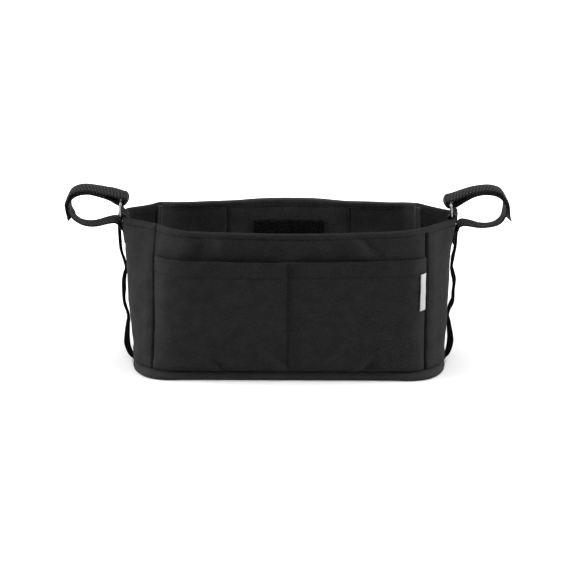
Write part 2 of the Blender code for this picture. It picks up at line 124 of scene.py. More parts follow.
# Length run so far at each point of a line
def run_along(points):
    return np.concatenate([[0], np.cumsum(np.linalg.norm(np.diff(points, axis=0), axis=1))])


# Values along a line, read at given lengths of its run
def at_marks(marks, run, values):
    return np.stack([np.interp(marks, run, values[:, i]) for i in range(values.shape[1])], axis=-1)


# Lengths round the wall are taken at this height, and steps are finer this near to a seam
RUN_Z, NEAR_SEAM = 120.0, 6.2


# Positions k at even steps along the wall, closer together beside the seams where it ends in them
def along(k0, k1, step, seams=False):
    fine = np.linspace(k0, k1, 600)
    run = run_along(wall(fine, RUN_Z))
    end = run[-1]
    marks = np.linspace(0, end, max(int(end / step), 2) + 1)
    if seams:
        near = np.arange(0.3, 6.0, 0.45)
        between = marks[(marks > NEAR_SEAM) & (marks < end - NEAR_SEAM)]
        marks = np.unique(np.round(np.concatenate([between, near, end - near, [0, end]]), 6))
    return np.interp(marks, run, fine)


# Distance along the wall from a position, in millimetres, signed
def run_from(k0, k):
    fine = np.linspace(min(k0, float(np.min(k))), max(k0, float(np.max(k))) + 1e-6, 800)
    run = run_along(wall(fine, RUN_Z))
    return np.interp(k, fine, run) - np.interp(k0, fine, run)


def bump(v, centre, width):
    return np.exp(-((v - centre) / width) ** 2)


# Slow uneven swell of cloth, a sum of seeded waves about one length long
def swell(u, v, length, seed):
    rng = np.random.default_rng(seed)
    total = np.zeros(np.broadcast(u, v).shape)
    for _ in range(10):
        a = rng.uniform(0, 2 * math.pi)
        f = 2 * math.pi / (length * rng.uniform(0.7, 1.5))
        total = total + np.sin(f * (u * math.cos(a) + v * math.sin(a)) + rng.uniform(0, 6.28))
    return total / 4.5


# Pinches and folds of the cloth, each from one point to another, with its width and height
def creases(u, z, folds):
    out = 0.0
    for (x0, z0), (x1, z1), width, height in folds:
        dx, dz = x1 - x0, z1 - z0
        length = math.hypot(dx, dz)
        run = ((u - x0) * dx + (z - z0) * dz) / length
        across = ((z - z0) * dx - (u - x0) * dz) / length
        past = np.maximum(-run, 0) ** 2 + np.maximum(run - length, 0) ** 2
        swollen = np.sin(math.pi * (0.15 + 0.7 * np.clip(run / length, 0, 1)))
        out = out + height * np.exp(-(across / width) ** 2) * np.exp(-past / (width * 1.5) ** 2) * swollen
    return out


def linked(name, data):
    obj = bpy.data.objects.new(name, data)
    bpy.context.scene.collection.objects.link(obj)
    return obj


# Points in millimetres and faces made a piece, with its places on the flat cloth as UV
def mesh_piece(name, points, faces, mat, uv, smooth=True):
    mesh = bpy.data.meshes.new(name)
    mesh.from_pydata([tuple(p) for p in points * MM], [], faces)
    mesh.materials.append(mat)
    layer = mesh.uv_layers.new(name="cloth_mm")
    index = np.zeros(len(mesh.loops), dtype=int)
    mesh.loops.foreach_get("vertex_index", index)
    layer.data.foreach_set("uv", uv[index].ravel())
    mesh.polygons.foreach_set("use_smooth", [smooth] * len(mesh.polygons))
    return linked(name, mesh)


def thicken(obj, thickness, offset=-1.0):
    mod = obj.modifiers.new("thickness", "SOLIDIFY")
    mod.thickness = thickness * MM
    mod.offset = offset


# One row of a cloth on the wall: its points, and their places on the flat cloth
def cloth_row(ks, z, d, u, v):
    return wall(ks, z, d), np.stack(np.broadcast_arrays(u, v), axis=-1)


# Rows of points made into cloth: rows go up the outside, columns anticlockwise
def grid_piece(name, rows, mat, thickness=0.0, closed=False, offset=-1.0, turned=False):
    points, uv = (np.array(part) for part in zip(*rows))
    if turned:
        points, uv = points[:, ::-1], uv[:, ::-1]
    count, cols = points.shape[:2]
    r, c = np.meshgrid(np.arange(count - 1), np.arange(cols if closed else cols - 1), indexing="ij")
    a = (r * cols + c).ravel()
    b = (r * cols + (c + 1) % cols).ravel()
    faces = np.stack([a, b, b + cols, a + cols], axis=1).tolist()
    obj = mesh_piece(name, points.reshape(-1, 3), faces, mat, uv.reshape(-1, 2))
    if thickness:
        thicken(obj, thickness, offset)
    return obj


# A finished piece: attached to the root, with the solids that it stands for hidden. Its slot and fill are not
# used.
def place(obj, slot, *nodes, fill=None):
    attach(obj, "root")
    if nodes:
        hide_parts(*nodes)


# Rows of heights, close together near the stitched lines
def rows_between(low, high, step, fine=(), fine_step=0.6, reach=3.0):
    marks = set(np.round(np.linspace(low, high, int((high - low) / step) + 1), 3))
    for f in fine:
        marks = {m for m in marks if abs(m - f) > reach or m in (round(low, 3), round(high, 3))}
        marks |= {round(v, 3) for v in np.arange(f - reach, f + reach + 0.01, fine_step) if low < v < high}
    return np.array(sorted(marks))


# Colour code to linear light
def linear(code):
    vals = [int(code[i:i + 2], 16) / 255 for i in (1, 3, 5)]
    return [v / 12.92 if v <= 0.04045 else ((v + 0.055) / 1.055) ** 2.4 for v in vals] + [1.0]


# The two kinds of node that come most often
MATH, NOISE = "ShaderNodeMath", "ShaderNodeTexNoise"


# Adds a node, with plain values or other nodes' outputs on its inputs, and gives back one of its outputs
def add(tree, kind, inputs=None, out=0, **settings):
    node = tree.nodes.new(kind)
    for key, value in settings.items():
        setattr(node, key, value)
    for key, value in (inputs or {}).items():
        if isinstance(value, bpy.types.NodeSocket):
            tree.links.new(value, node.inputs[key])
        else:
            node.inputs[key].default_value = value
    return node.outputs[out] if node.outputs else None


# A plain material, with its nodes and the sockets of its shader
def new_material(name, color, rough, specular, metallic=0.0):
    mat = bpy.data.materials.new(name)
    mat.use_nodes = True
    surface = mat.node_tree.nodes["Principled BSDF"].inputs
    surface["Base Color"].default_value = linear(color)
    surface["Roughness"].default_value = rough
    surface["Specular IOR Level"].default_value = specular
    surface["Metallic"].default_value = metallic
    return mat, mat.node_tree, surface


# Two tones of the dye, mixed, and the threads' relief with its depth in millimetres
def dye_and_relief(tree, surface, mix, dark, light, relief, depth):
    tint = add(tree, "ShaderNodeMixRGB", {0: mix, 1: linear(dark), 2: linear(light)})
    bumps = add(tree, "ShaderNodeBump", {"Height": relief, "Strength": 1.0, "Distance": depth * MM})
    tree.links.new(tint, surface["Base Color"])
    tree.links.new(bumps, surface["Normal"])


# Woven cloth: crossing yarns as relief, at a spacing in millimetres, with uneven slubs and grain in them.
# Every spacing used here is coarser than the real yarns', so that the weave shows at this size.
def woven(name, dark, light, rough, spacing, depth, specular=0.02, slub=0.5):
    mat, tree, surface = new_material(name, dark, rough, specular)
    uv = add(tree, "ShaderNodeUVMap", uv_map="cloth_mm")
    wobble = add(tree, NOISE, {"Vector": uv, "Scale": 0.45, "Detail": 2.0})
    shift = add(tree, MATH, {0: wobble, 1: 0.9}, operation="MULTIPLY")
    yarns = []
    for axis in ("X", "Y"):
        spot = add(tree, "ShaderNodeSeparateXYZ", {0: uv}, out=axis)
        moved = add(tree, MATH, {0: spot, 1: shift}, operation="ADD")
        turn = add(tree, MATH, {0: moved, 1: math.pi / spacing}, operation="MULTIPLY")
        yarns.append(add(tree, MATH, {0: turn}, operation="SINE"))
    crossed = add(tree, MATH, {0: yarns[0], 1: yarns[1]}, operation="MULTIPLY")
    drawn = add(tree, "ShaderNodeMapping", {"Vector": uv, "Scale": (0.22, 1.6, 1.0)})
    slubs = add(tree, NOISE, {"Vector": drawn, "Scale": 1.0, "Detail": 3.0, "Roughness": 0.6})
    grain = add(tree, NOISE, {"Vector": uv, "Scale": 0.5, "Detail": 5.0, "Roughness": 0.7})
    relief = add(tree, MATH, {0: slubs, 1: slub * 2.2, 2: crossed}, operation="MULTIPLY_ADD")
    relief = add(tree, MATH, {0: grain, 1: slub * 2.6, 2: relief}, operation="MULTIPLY_ADD")
    cloud = add(tree, NOISE, {"Vector": uv, "Scale": 0.07, "Detail": 4.0, "Roughness": 0.6})
    clouded = add(tree, MATH, {0: cloud, 1: 0.28}, operation="MULTIPLY")
    blend = add(tree, MATH, {0: grain, 1: 0.72, 2: clouded}, operation="MULTIPLY_ADD")
    mix = add(tree, "ShaderNodeMapRange", {"Value": blend, "From Min": 0.34, "From Max": 0.66})
    dye_and_relief(tree, surface, mix, dark, light, relief, depth)
    return mat


# Plain-woven polyester, dyed black: matt, with a faint uneven grain of yarns that are drawn 1.15 mm apart
shell_cloth = woven("black_woven_polyester", "#1a1a1a", "#2b2b2b", 0.7, 1.15, 0.27)
# Back of the same cloth, seen where the hem turns in: smoother than its face, and a lighter grey
cloth_back = woven("lighter_cloth_back", "#303030", "#434343", 0.7, 1.15, 0.12)
# The same cloth back inside the two ends, which face a lamp across the open bag: painted darker as painted
# shade, as they look
end_back_painted_shade = woven("cloth_back_painted_shade", "#1b1b1b", "#292929", 0.7, 1.15, 0.12)
# Spun polyester thread, dyed black: a shade darker than the cloth, so that a row reads as small dark beads
thread, _, _ = new_material("black_polyester_thread", "#050505", 0.7, 0.1)

# Heights, and how far each end leans out or in there
END_LEAN = {
    TIP_L: ([9, 13, 26, 60, 78, 112, 126, 150, 160], [-1.2, -2.2, -1.6, 0.0, 1.2, 1.2, 1.7, 0.9, 0.0]),
    TIP_R: ([9, 15, 24, 62, 76, 89, 115, 124, 150, 160],
            [-1.0, -1.8, -1.8, -0.9, -0.6, 0.0, -1.3, -1.6, -0.8, 0.0]),
}
# Depth and width of the groove at each corner seam, and the height at which it runs out
SEAM_GROOVES = {SEAM_RF: (4.2, 1.4, 156.0), SEAM_RB: (2.2, 1.4, 156.0), SEAM_LB: (2.2, 1.4, 156.0),
                SEAM_LF: (4.6, 1.5, 300.0)}


# How far the shell cloth stands off the plain wall: seams and hem stitching pulled in, cloth full between.
# A wall that doesn't reach an end of the bag takes none of that end's lean.
def shell_relief(k, z):
    u = run_from(0.0, k)
    out = 0.6 * swell(u, z, 60, 3) + 0.38 * swell(u, z * 1.3, 26, 4) + 0.1 * swell(u, z, 11, 6)
    for tip, (heights, lean) in END_LEAN.items():
        near = abs(tip - float(np.mean(k))) < 13
        out = out + np.interp(z, heights, lean) * bump(run_from(tip, k) if near else 99.0, 0, 30)
    out = out * np.clip((z - SEAM_Z) / 12, 0, 1) * np.clip((RIM - z) / 14, 0.15, 1)
    out = out + (-1.1 * bump(z, SEAM_Z, 1.3) + 1.0 * bump(z, SEAM_Z + 6, 5))
    pull = 0.75 + 0.25 * np.sin(u * 2.1) + 0.3 * swell(u, z, 7, 5)
    out = out - 0.9 * pull * bump(z, HEM_Z, 0.9) + 0.4 * bump(z, 157.0, 1.8) + 0.3 * bump(z, 150.6, 2.0)
    full = np.clip((z - SEAM_Z) / 25, 0, 1) * np.clip((RIM + 4 - z) / 30, 0, 1)
    for seam, (depth, width, top) in SEAM_GROOVES.items():
        s = run_from(seam, k)
        out = out - depth * np.exp(-np.abs(s / width) ** 1.6) * np.clip((top - z) / 4.0, 0, 1)
        out = out + 1.1 * full * np.exp(-((np.abs(s) - 9.0) / 6.0) ** 2)
    return out


# Small pinches in the front's upper band and by its corners: from, to, width and height
FRONT_PINCHES = [
    ((61, 152), (78, 136), 8.0, 2.8), ((73, 154), (89, 139), 4.0, -1.8), ((-72, 152), (-63, 136), 8.0, 2.6),
    ((-94, 149), (-84, 136), 7.0, -1.5), ((-50, 150), (-44, 136), 7.0, -1.0),
    ((20, 146), (48, 139), 6.0, 0.9), ((-30, 148), (-10, 137), 7.0, -0.8),
]
# Heights of the hem's rows inside. They and the last five rows of the fold show the cloth's back.
HEM_ROWS = (156.4, 155.2, 154.4, 153.8, 153.2, 152.6, 152.0, 151.7)
TURNED_ROWS = len(HEM_ROWS) + 5


# One wall of the shell: outside, rolled over the rim, and the hem turned down inside
def shell_wall(name, k0, k1, turned, nodes, pinches=()):
    ks = along(k0, k1, 1.5, seams=True)
    u = run_from(0.0, ks)
    fold_z = RIM - FOLD_R
    rows = []
    for z in rows_between(SEAM_Z - 0.2, fold_z, 1.7, fine=(HEM_Z, SEAM_Z + 1.5)):
        rows.append(cloth_row(ks, z, shell_relief(ks, z) + creases(u, z, pinches), u, z))
    edge = shell_relief(ks, fold_z)
    for a in range(15, 181, 15):
        r = math.radians(a)
        d = edge * (1 - a / 180) - FOLD_R + FOLD_R * math.cos(r)
        rows.append(cloth_row(ks, fold_z + FOLD_R * math.sin(r) * 0.98, d, u, fold_z + a * 0.04))
    for z in HEM_ROWS:
        d = -2 * FOLD_R + 0.35 * bump(z, HEM_Z, 0.7) - 0.12 * np.sin(u * 0.45)
        rows.append(cloth_row(ks, z, d, u, 2 * RIM - z))
    obj = grid_piece(name, rows, shell_cloth, thickness=SHELL_THICK)
    obj.data.materials.append(turned)
    faces = len(obj.data.polygons)
    outside = (len(rows) - TURNED_ROWS) * (len(ks) - 1)
    obj.data.polygons.foreach_set("material_index", [0] * outside + [1] * (faces - outside))
    place(obj, "shell_fabric", *nodes, fill=0.3)


shell_wall("front_wall", SEAM_LF - ROUND, SEAM_RF, cloth_back, ("front_panel", "front_foam"), FRONT_PINCHES)
shell_wall("right_end_wall", SEAM_RF, SEAM_RB, end_back_painted_shade, ("right_end_panel", "right_end_foam"))
shell_wall("back_wall", SEAM_RB, SEAM_LB, cloth_back, ("back_panel", "back_foam"))
shell_wall("left_end_wall", SEAM_LB, SEAM_LF, end_back_painted_shade, ("left_end_panel", "left_end_foam"))


# Stitches: one short thread at each place, turned along its seam and to the cloth's face
def stitch_tree():
    tree = bpy.data.node_groups.new("lockstitch_rows", "GeometryNodeTree")
    for label, way, kind in (("Places", "INPUT", "Geometry"), ("Stitch length", "INPUT", "Float"),
                             ("Thread thickness", "INPUT", "Float"), ("Stitches", "OUTPUT", "Geometry")):
        tree.interface.new_socket(label, in_out=way, socket_type="NodeSocket" + kind)
    given = add(tree, "NodeGroupInput").node.outputs
    thick = given["Thread thickness"]
    points = add(tree, "GeometryNodeMeshToPoints", {0: given["Places"]})
    ball = add(tree, "GeometryNodeMeshUVSphere", {"Segments": 8, "Rings": 5, "Radius": 0.5})
    size = add(tree, "ShaderNodeCombineXYZ", {0: given["Stitch length"], 1: thick, 2: thick})
    way, face = (add(tree, "GeometryNodeInputNamedAttribute", {"Name": label}, out="Attribute",
                     data_type="FLOAT_VECTOR") for label in ("stitch_along", "stitch_out"))
    turn = add(tree, "FunctionNodeAlignRotationToVector", {"Vector": way}, axis="X")
    turn = add(tree, "FunctionNodeAlignRotationToVector", {"Rotation": turn, "Vector": face},
               axis="Z", pivot_axis="X")
    copies = add(tree, "GeometryNodeInstanceOnPoints",
                 {"Points": points, "Instance": ball, "Rotation": turn, "Scale": size})
    real = add(tree, "GeometryNodeRealizeInstances", {0: copies})
    sewn = add(tree, "GeometryNodeSetMaterial", {"Geometry": real, "Material": thread})
    add(tree, "NodeGroupOutput", {0: sewn})
    return tree


STITCHES = stitch_tree()


# Even places along a line of points, with the way along and the way out at each
def stitch_line(points, outward, pitch):
    run = run_along(points)
    marks = np.arange(pitch / 2, run[-1], pitch)
    way = at_marks(marks + 0.4, run, points) - at_marks(marks - 0.4, run, points)
    way /= np.maximum(np.linalg.norm(way, axis=1, keepdims=True), 1e-9)
    outward = np.broadcast_to(np.asarray(outward, float), points.shape)
    return at_marks(marks, run, points), way, at_marks(marks, run, outward)


# Rows of stitches as one piece: each line is its points and the way that its cloth faces
def sew(name, slot, lines, pitch=3.0, length=2.3, thickness=0.55):
    parts = [stitch_line(points, outward, pitch) for points, outward in lines]
    at, way, face = (np.concatenate(part) for part in zip(*parts))
    mesh = bpy.data.meshes.new(name + "_places")
    mesh.from_pydata([tuple(p) for p in at * MM], [], [])
    for label, vectors in (("stitch_along", way), ("stitch_out", face)):
        layer = mesh.attributes.new(label, "FLOAT_VECTOR", "POINT")
        layer.data.foreach_set("vector", vectors.astype(np.float32).ravel())
    guide = linked(name + "_places", mesh)
    mod = guide.modifiers.new("stitches", "NODES")
    mod.node_group = STITCHES
    sizes = {"Stitch length": length * MM, "Thread thickness": thickness * MM}
    for item in STITCHES.interface.items_tree:
        if item.name in sizes:
            mod[item.identifier] = sizes[item.name]
    bpy.context.view_layer.update()
    depsgraph = bpy.context.evaluated_depsgraph_get()
    solid = bpy.data.meshes.new_from_object(guide.evaluated_get(depsgraph))
    bpy.data.objects.remove(guide)
    solid.polygons.foreach_set("use_smooth", [True] * len(solid.polygons))
    place(linked(name, solid), slot)


def wall_normal(k, z, d):
    return wall(k, z, d + 1.0) - wall(k, z, d)


# A level line all round the bag, on cloth that stands a given distance off the plain wall
def level_line(z, distance, inward=False):
    ks = along(0.0, ROUND, 2.0)
    d = distance(ks)
    out = wall_normal(ks, z, d)
    return wall(ks, z, d), (-out if inward else out)


outer_hem = level_line(HEM_Z, lambda ks: shell_relief(ks, HEM_Z) + 0.12)
inner_hem = level_line(HEM_Z, lambda ks: np.full_like(ks, -2 * FOLD_R + 0.35 - 0.15), inward=True)
sew("rim_hem_stitches", "shell_fabric", [outer_hem, inner_hem], pitch=3.2, length=2.2, thickness=0.75)

# Front pocket: one panel of the shell cloth across the whole front, caught in the corner seams and the base
# seam and stitched down its middle, so that it gapes as two shallow halves, with a hem folded inside.
POCKET_TOP = 131.0
POCKET_HEM_Z = 114.2
POCKET_EDGE_Z = POCKET_TOP - 0.8
pocket_ks = along(SEAM_LF - ROUND + 0.02, SEAM_RF - 0.02, 1.5, seams=True)
pocket_u = run_from(0.0, pocket_ks)
# Short folds by its seams, its hem and its middle: from, to, width and height
POCKET_FOLDS = [
    ((-123, 117), (-131, 102), 1.3, 0.9), ((-119, 117), (-127, 102), 1.3, 0.9),
    ((-115, 117), (-123, 102), 1.3, 0.9), ((-84, 22), (-72, 10), 2.4, 2.8), ((-77, 23), (-66, 10), 2.8, -2.4),
    ((80, 25), (68, 10), 2.6, 2.8), ((88, 24), (77, 10), 3.2, -2.2), ((-25, 31), (-5, 10), 3.2, 1.6),
    ((-18, 34), (3, 14), 4.0, -1.0), ((-40, 60), (-10, 14), 9.0, 0.7), ((60, 70), (20, 30), 10.0, 0.5),
]


# How far the pocket stands off the panel behind it: tucked in at its seams and middle, gaping between them
def pocket_relief(u, z):
    left = u < 0
    half = np.abs(np.where(left, pocket_u[0], pocket_u[-1]))
    h = np.abs(u) / half
    tuck = 1 - np.exp(-((1 - h) * 150 / 3.6) ** 1.2)
    rise = np.interp(z, [SEAM_Z, 40, 110, POCKET_TOP], [0.0, 0.35, 0.8, 1.0])
    deep, reach = np.where(left, 8.0, 5.2), np.where(left, 23.0, 17.0)
    off_seam = 1 - np.exp(-(np.maximum(half - np.abs(u), 0) / reach) ** 1.25)
    off_middle = 1 - np.exp(-(np.abs(u) / 11.0) ** 1.3)
    gape = deep * off_seam * off_middle * rise ** 0.7 * (0.62 + 0.38 * np.abs(2 * h - 1) ** 1.5)
    sewn = np.clip((POCKET_TOP - z) / 3.0, 0, 1) * np.clip((z - SEAM_Z) / 5, 0, 1)
    out = 1.5 + gape - 0.9 * bump(u, -1.5, 2.0) * sewn
    out = out + 0.6 * swell(u, z, 55, 11) * rise
    out = out + 0.34 * swell(u, z * 1.4, 24, 12) + 0.1 * swell(u, z, 10, 13)
    out = out - 0.4 * bump(z, POCKET_HEM_Z, 0.8) + 0.8 * bump(z, POCKET_TOP - 1, 2.2)
    out = out + 1.0 * bump(z, SEAM_Z + 7, 6) - 1.3 * bump(z, SEAM_Z, 1.4)
    return 0.2 + (out + creases(u, z, POCKET_FOLDS)) * tuck


# How far the pocket stands off the plain wall: it follows the panel behind it less and less upward
def pocket_stand(ks, z):
    follows = np.interp(z, [SEAM_Z, 20, 131], [1.0, 0.5, 0.3])
    return shell_relief(ks, z) * follows + pocket_relief(run_from(0.0, ks), z)


# Position k on the back or front wall where the wall crosses a given x
def k_at(x, z, d, k0, k1):
    fine = np.linspace(k0, k1, 2400)
    return float(fine[np.argmin(np.abs(wall(fine, z, d)[:, 0] - x))])


rows = []
cloth_u = pocket_u + 300
for z in rows_between(SEAM_Z - 0.1, POCKET_EDGE_Z, 1.6, fine=(POCKET_HEM_Z, SEAM_Z + 1.5, POCKET_TOP - 2)):
    rows.append(cloth_row(pocket_ks, z, pocket_stand(pocket_ks, z), cloth_u, z))
top = shell_relief(pocket_ks, POCKET_EDGE_Z) * 0.3 + pocket_relief(pocket_u, POCKET_EDGE_Z)
for a in range(20, 181, 20):
    r = math.radians(a)
    d = top - 0.9 + 0.9 * math.cos(r)
    rows.append(cloth_row(pocket_ks, POCKET_EDGE_Z + 1.0 * math.sin(r), d, cloth_u, POCKET_TOP + a * 0.02))
for z in (129.0, 126.0, 121.0, 116.0, 114.0):
    rows.append(cloth_row(pocket_ks, z, np.maximum(top - 1.9, 0.5), cloth_u, 260 - z))
place(grid_piece("pocket_front", rows, shell_cloth, thickness=0.6), "shell_fabric", "front_pocket", fill=0.3)

sewn_ks = along(SEAM_LF - ROUND + 0.08, SEAM_RF - 0.08, 2.0)
hem = wall(sewn_ks, POCKET_HEM_Z, pocket_stand(sewn_ks, POCKET_HEM_Z) + 0.12)
mid_k = k_at(-1.4, 70, 2.0, -3, 3)
heights = np.arange(12.0, 128.0, 2.0)
middle = [wall(mid_k, z, float(pocket_stand(np.array([mid_k]), z)[0]) + 0.12) for z in heights]
pocket_lines = [(hem, wall_normal(sewn_ks, POCKET_HEM_Z, 2.0)), (np.array(middle), (0.0, -1.0, 0.0))]
sew("pocket_stitches", "shell_fabric", pocket_lines, pitch=3.2, length=2.3, thickness=0.7)

# Side label: a small folded tab of woven satin with plain faces, caught in the pocket's right corner seam.
# Silver-grey floats over fine yarns give it a pale, even face with a soft shine.
label_cloth = woven("silver_woven_label", "#8f8f8e", "#a6a6a5", 0.5, 0.4, 0.08, specular=0.12, slub=0.3)
LABEL_LOW, LABEL_HIGH, LABEL_WIDE = 75.0, 114.4, 8.3
ks = np.linspace(k_at(134.7, 92, 3.0, 3, 6.4), k_at(143.0, 92, 3.0, 3, 6.4), 12)
u = run_from(0.0, ks)
rows = []
for z in np.linspace(LABEL_LOW, LABEL_HIGH, 40):
    lifted = np.sin(math.pi * (z - LABEL_LOW) / 39.4) * np.linspace(1, 0, 12)
    bow = 0.5 * lifted + 0.15 * np.sin(z * 0.35)
    d = shell_relief(ks, z) * 0.4 + pocket_relief(u, z) + 0.55 + bow
    rows.append(cloth_row(ks, z, d, np.linspace(0, LABEL_WIDE, 12), z))
label = grid_piece("plain_side_label", rows, label_cloth, thickness=0.35, offset=1.0)
place(label, "label", "side_label")

# Base: one panel of the shell cloth, its edge turned up about 9 mm all round and sewn to the walls.
# Its flat middle is a piece of its own. The base's cloth is a little lighter than the walls'.
base_cloth = woven("black_woven_base_cloth", "#212121", "#353535", 0.7, 1.15, 0.25)
# The band's section from the flat base up to its sewn edge: height, and distance off the plain wall
BAND_SECTION = (
    (0.25, -40.0), (0.25, -9.0), (0.2, -3.0), (0.25, -0.6), (0.5, 0.5), (1.2, 1.3), (2.4, 1.7), (3.8, 1.9),
    (5.4, 1.8), (6.8, 1.4), (7.8, 0.9), (8.6, 0.2), (9.2, -0.7), (9.6, -1.6),
)
# Where the band is let out or drawn in: position, how much, and over what length
BAND_PULLS = ((SEAM_RF, 3.4, 24), (SEAM_LF, 3.0, 24), (TIP_L, -3.0, 34), (TIP_R, -2.4, 34))
BAND_STITCH_Z = 6.9
ks = along(0.0, ROUND, 2.0)[:-1]
u = run_from(0.0, ks)


def band_ripple(u, z):
    return 0.25 * swell(u, z, 14, 21)


rows = []
for z, d in BAND_SECTION:
    out = d + band_ripple(u, z) * np.clip(z / 4, 0, 1)
    free = np.clip((d + 3) / 3, 0, 1) * np.clip((9 - z) / 3, 0, 1)
    for corner, pulled, reach in BAND_PULLS:
        out = out + pulled * bump(run_from(corner, ks), 0, reach) * free
    rows.append(cloth_row(ks, z, out, u, z - d * 0.4))
base = grid_piece("base_tray", rows, base_cloth, thickness=SHELL_THICK, closed=True)
place(base, "shell_fabric", "base_panel")
floor_points = wall(ks, 0.3, -38.0)
floor_face = [tuple(range(len(ks) - 1, -1, -1))]
under = mesh_piece("base_floor", floor_points, floor_face, base_cloth, floor_points[:, :2], smooth=False)
thicken(under, SHELL_THICK)
place(under, "shell_fabric")
band_line = level_line(BAND_STITCH_Z, lambda ks: 1.45 + band_ripple(run_from(0.0, ks), BAND_STITCH_Z))
sew("base_band_stitches", "shell_fabric", [band_line])

# Base board: a stiff sheet laid on the base under the floor lining. It keeps its solid.
# Pressed grey fibre board, matt, with a fine felted face.
board, tree, surface = new_material("grey_hard_board", "#3a3836", 0.8, 0.5)
places = add(tree, "ShaderNodeTexCoord", out="Object")
fibres = add(tree, NOISE, {"Vector": places, "Scale": 180.0, "Detail": 4.0})
felted = add(tree, "ShaderNodeBump", {"Height": fibres, "Strength": 0.4, "Distance": 0.2 * MM})
tree.links.new(felted, surface["Normal"])
for slot in bpy.data.objects["base_board"].material_slots:
    slot.material = board

# Wall linings: one width of thin lining cloth for each wall, facing in over the foam, with its top edge
# tucked behind the folded hem. The back one has two upright seams, which pull it into narrow grooves.
# Filament polyester, dyed black: finer, smoother and greyer in this light than the shell's cloth.
lining_cloth = woven("black_fine_lining", "#2e2e2e", "#454545", 0.7, 0.9, 0.06)
# The same lining inside the two ends, which face a lamp across the open bag: painted darker as painted shade,
# as they look
end_lining = woven("lining_painted_shade_ends", "#151515", "#242424", 0.7, 0.9, 0.06)
# How far inside the plain wall the linings hang, and the seed of the back one's slack
LINING_D, BACK_SEED = -3.7, 31
BACK_SEAM_L, BACK_SEAM_R = k_at(-66.7, 140, LINING_D, 18, 30), k_at(66.0, 140, LINING_D, 18, 30)


# Slack of a lining between its edges, with the back one's seams drawn toward the foam
def lining_relief(k, z, seed):
    u = run_from(MID_BACK if float(np.mean(k)) > 6 else 0.0, k)
    full = np.clip((157 - z) / 10, 0, 1) * np.clip((z - 5) / 12, 0, 1)
    out = -(0.5 + 0.5 * swell(u, z, 48, seed)) * full
    for seam in (BACK_SEAM_L, BACK_SEAM_R):
        s = run_from(seam, k)
        out = out + 2.2 * np.exp(-np.abs(s / 0.55) ** 2) * full
        out = out - 0.2 * full * np.exp(-((np.abs(s) - 3.0) / 2.0) ** 2)
    return np.clip(out, -2.4, 1.5)


def lining_wall(name, k0, k1, seed, cloth, *nodes):
    ks = along(k0, k1, 1.6, seams=True)
    for seam in (BACK_SEAM_L, BACK_SEAM_R):
        if k0 < seam < k1:
            close = np.linspace(seam - 0.1, seam + 0.1, 19)
            ks = np.sort(np.concatenate([ks[np.abs(ks - seam) > 0.11], close]))
    ks = ks[::-1]
    u = run_from(0.0, ks)
    heights = rows_between(4.3, 157.4, 2.4)
    rows = [cloth_row(ks, z, LINING_D + lining_relief(ks, z, seed), u, z) for z in heights]
    place(grid_piece(name, rows, cloth, thickness=0.5), "lining_fabric", *nodes)


lining_wall("back_lining_wide", SEAM_RB, SEAM_LB, BACK_SEED, lining_cloth,
            "back_lining_left", "back_lining_centre", "back_lining_right")
lining_wall("front_lining_wide", SEAM_LF - ROUND, SEAM_RF, 32, lining_cloth, "front_lining")
lining_wall("right_end_lining_cloth", SEAM_RF, SEAM_RB, 33, end_lining, "right_end_lining")
lining_wall("left_end_lining_cloth", SEAM_LB, SEAM_LF, 34, end_lining, "left_end_lining")

seam_lines = []
for k in (BACK_SEAM_L - 0.11, BACK_SEAM_R + 0.12):
    points = []
    for z in np.arange(8.0, 151.0, 2.0):
        stand = float(lining_relief(np.array([k, k]), z, BACK_SEED)[0])
        points.append(wall(k, z, LINING_D + stand - 0.15))
    seam_lines.append((np.array(points), -wall_normal(k, 100.0, 0.0)))
sew("back_lining_stitches", "lining_fabric", seam_lines, thickness=0.5)

# Floor lining: the same lining cloth laid over the board, held by the wall linings' lower edges.
# It lies a little full between its seams.
FLOOR_SEAM_Z, FLOOR_D = 5.0, -4.2
xs = np.linspace(-160.0, 160.0, 161)


def floor_edge(k0, k1):
    ks = np.array([k_at(x, FLOOR_SEAM_Z, FLOOR_D, k0, k1) for x in xs])
    return wall(ks, FLOOR_SEAM_Z, FLOOR_D)[:, 1]


y_front, y_back = floor_edge(-12, 12), floor_edge(12, 36)
rows = []
for t in np.linspace(0.0, 1.0, 70):
    y = y_front + (y_back - y_front) * t
    edge = np.minimum(np.minimum(t, 1 - t) * 6, 1.0)
    z = 4.15 + (0.45 + 0.35 * swell(xs, y, 55, 41)) * edge
    rows.append((np.stack([xs, y, z], axis=-1), np.stack([xs, y], axis=-1)))
place(grid_piece("floor_lining_cloth", rows, lining_cloth, thickness=0.5), "lining_fabric", "floor_lining")

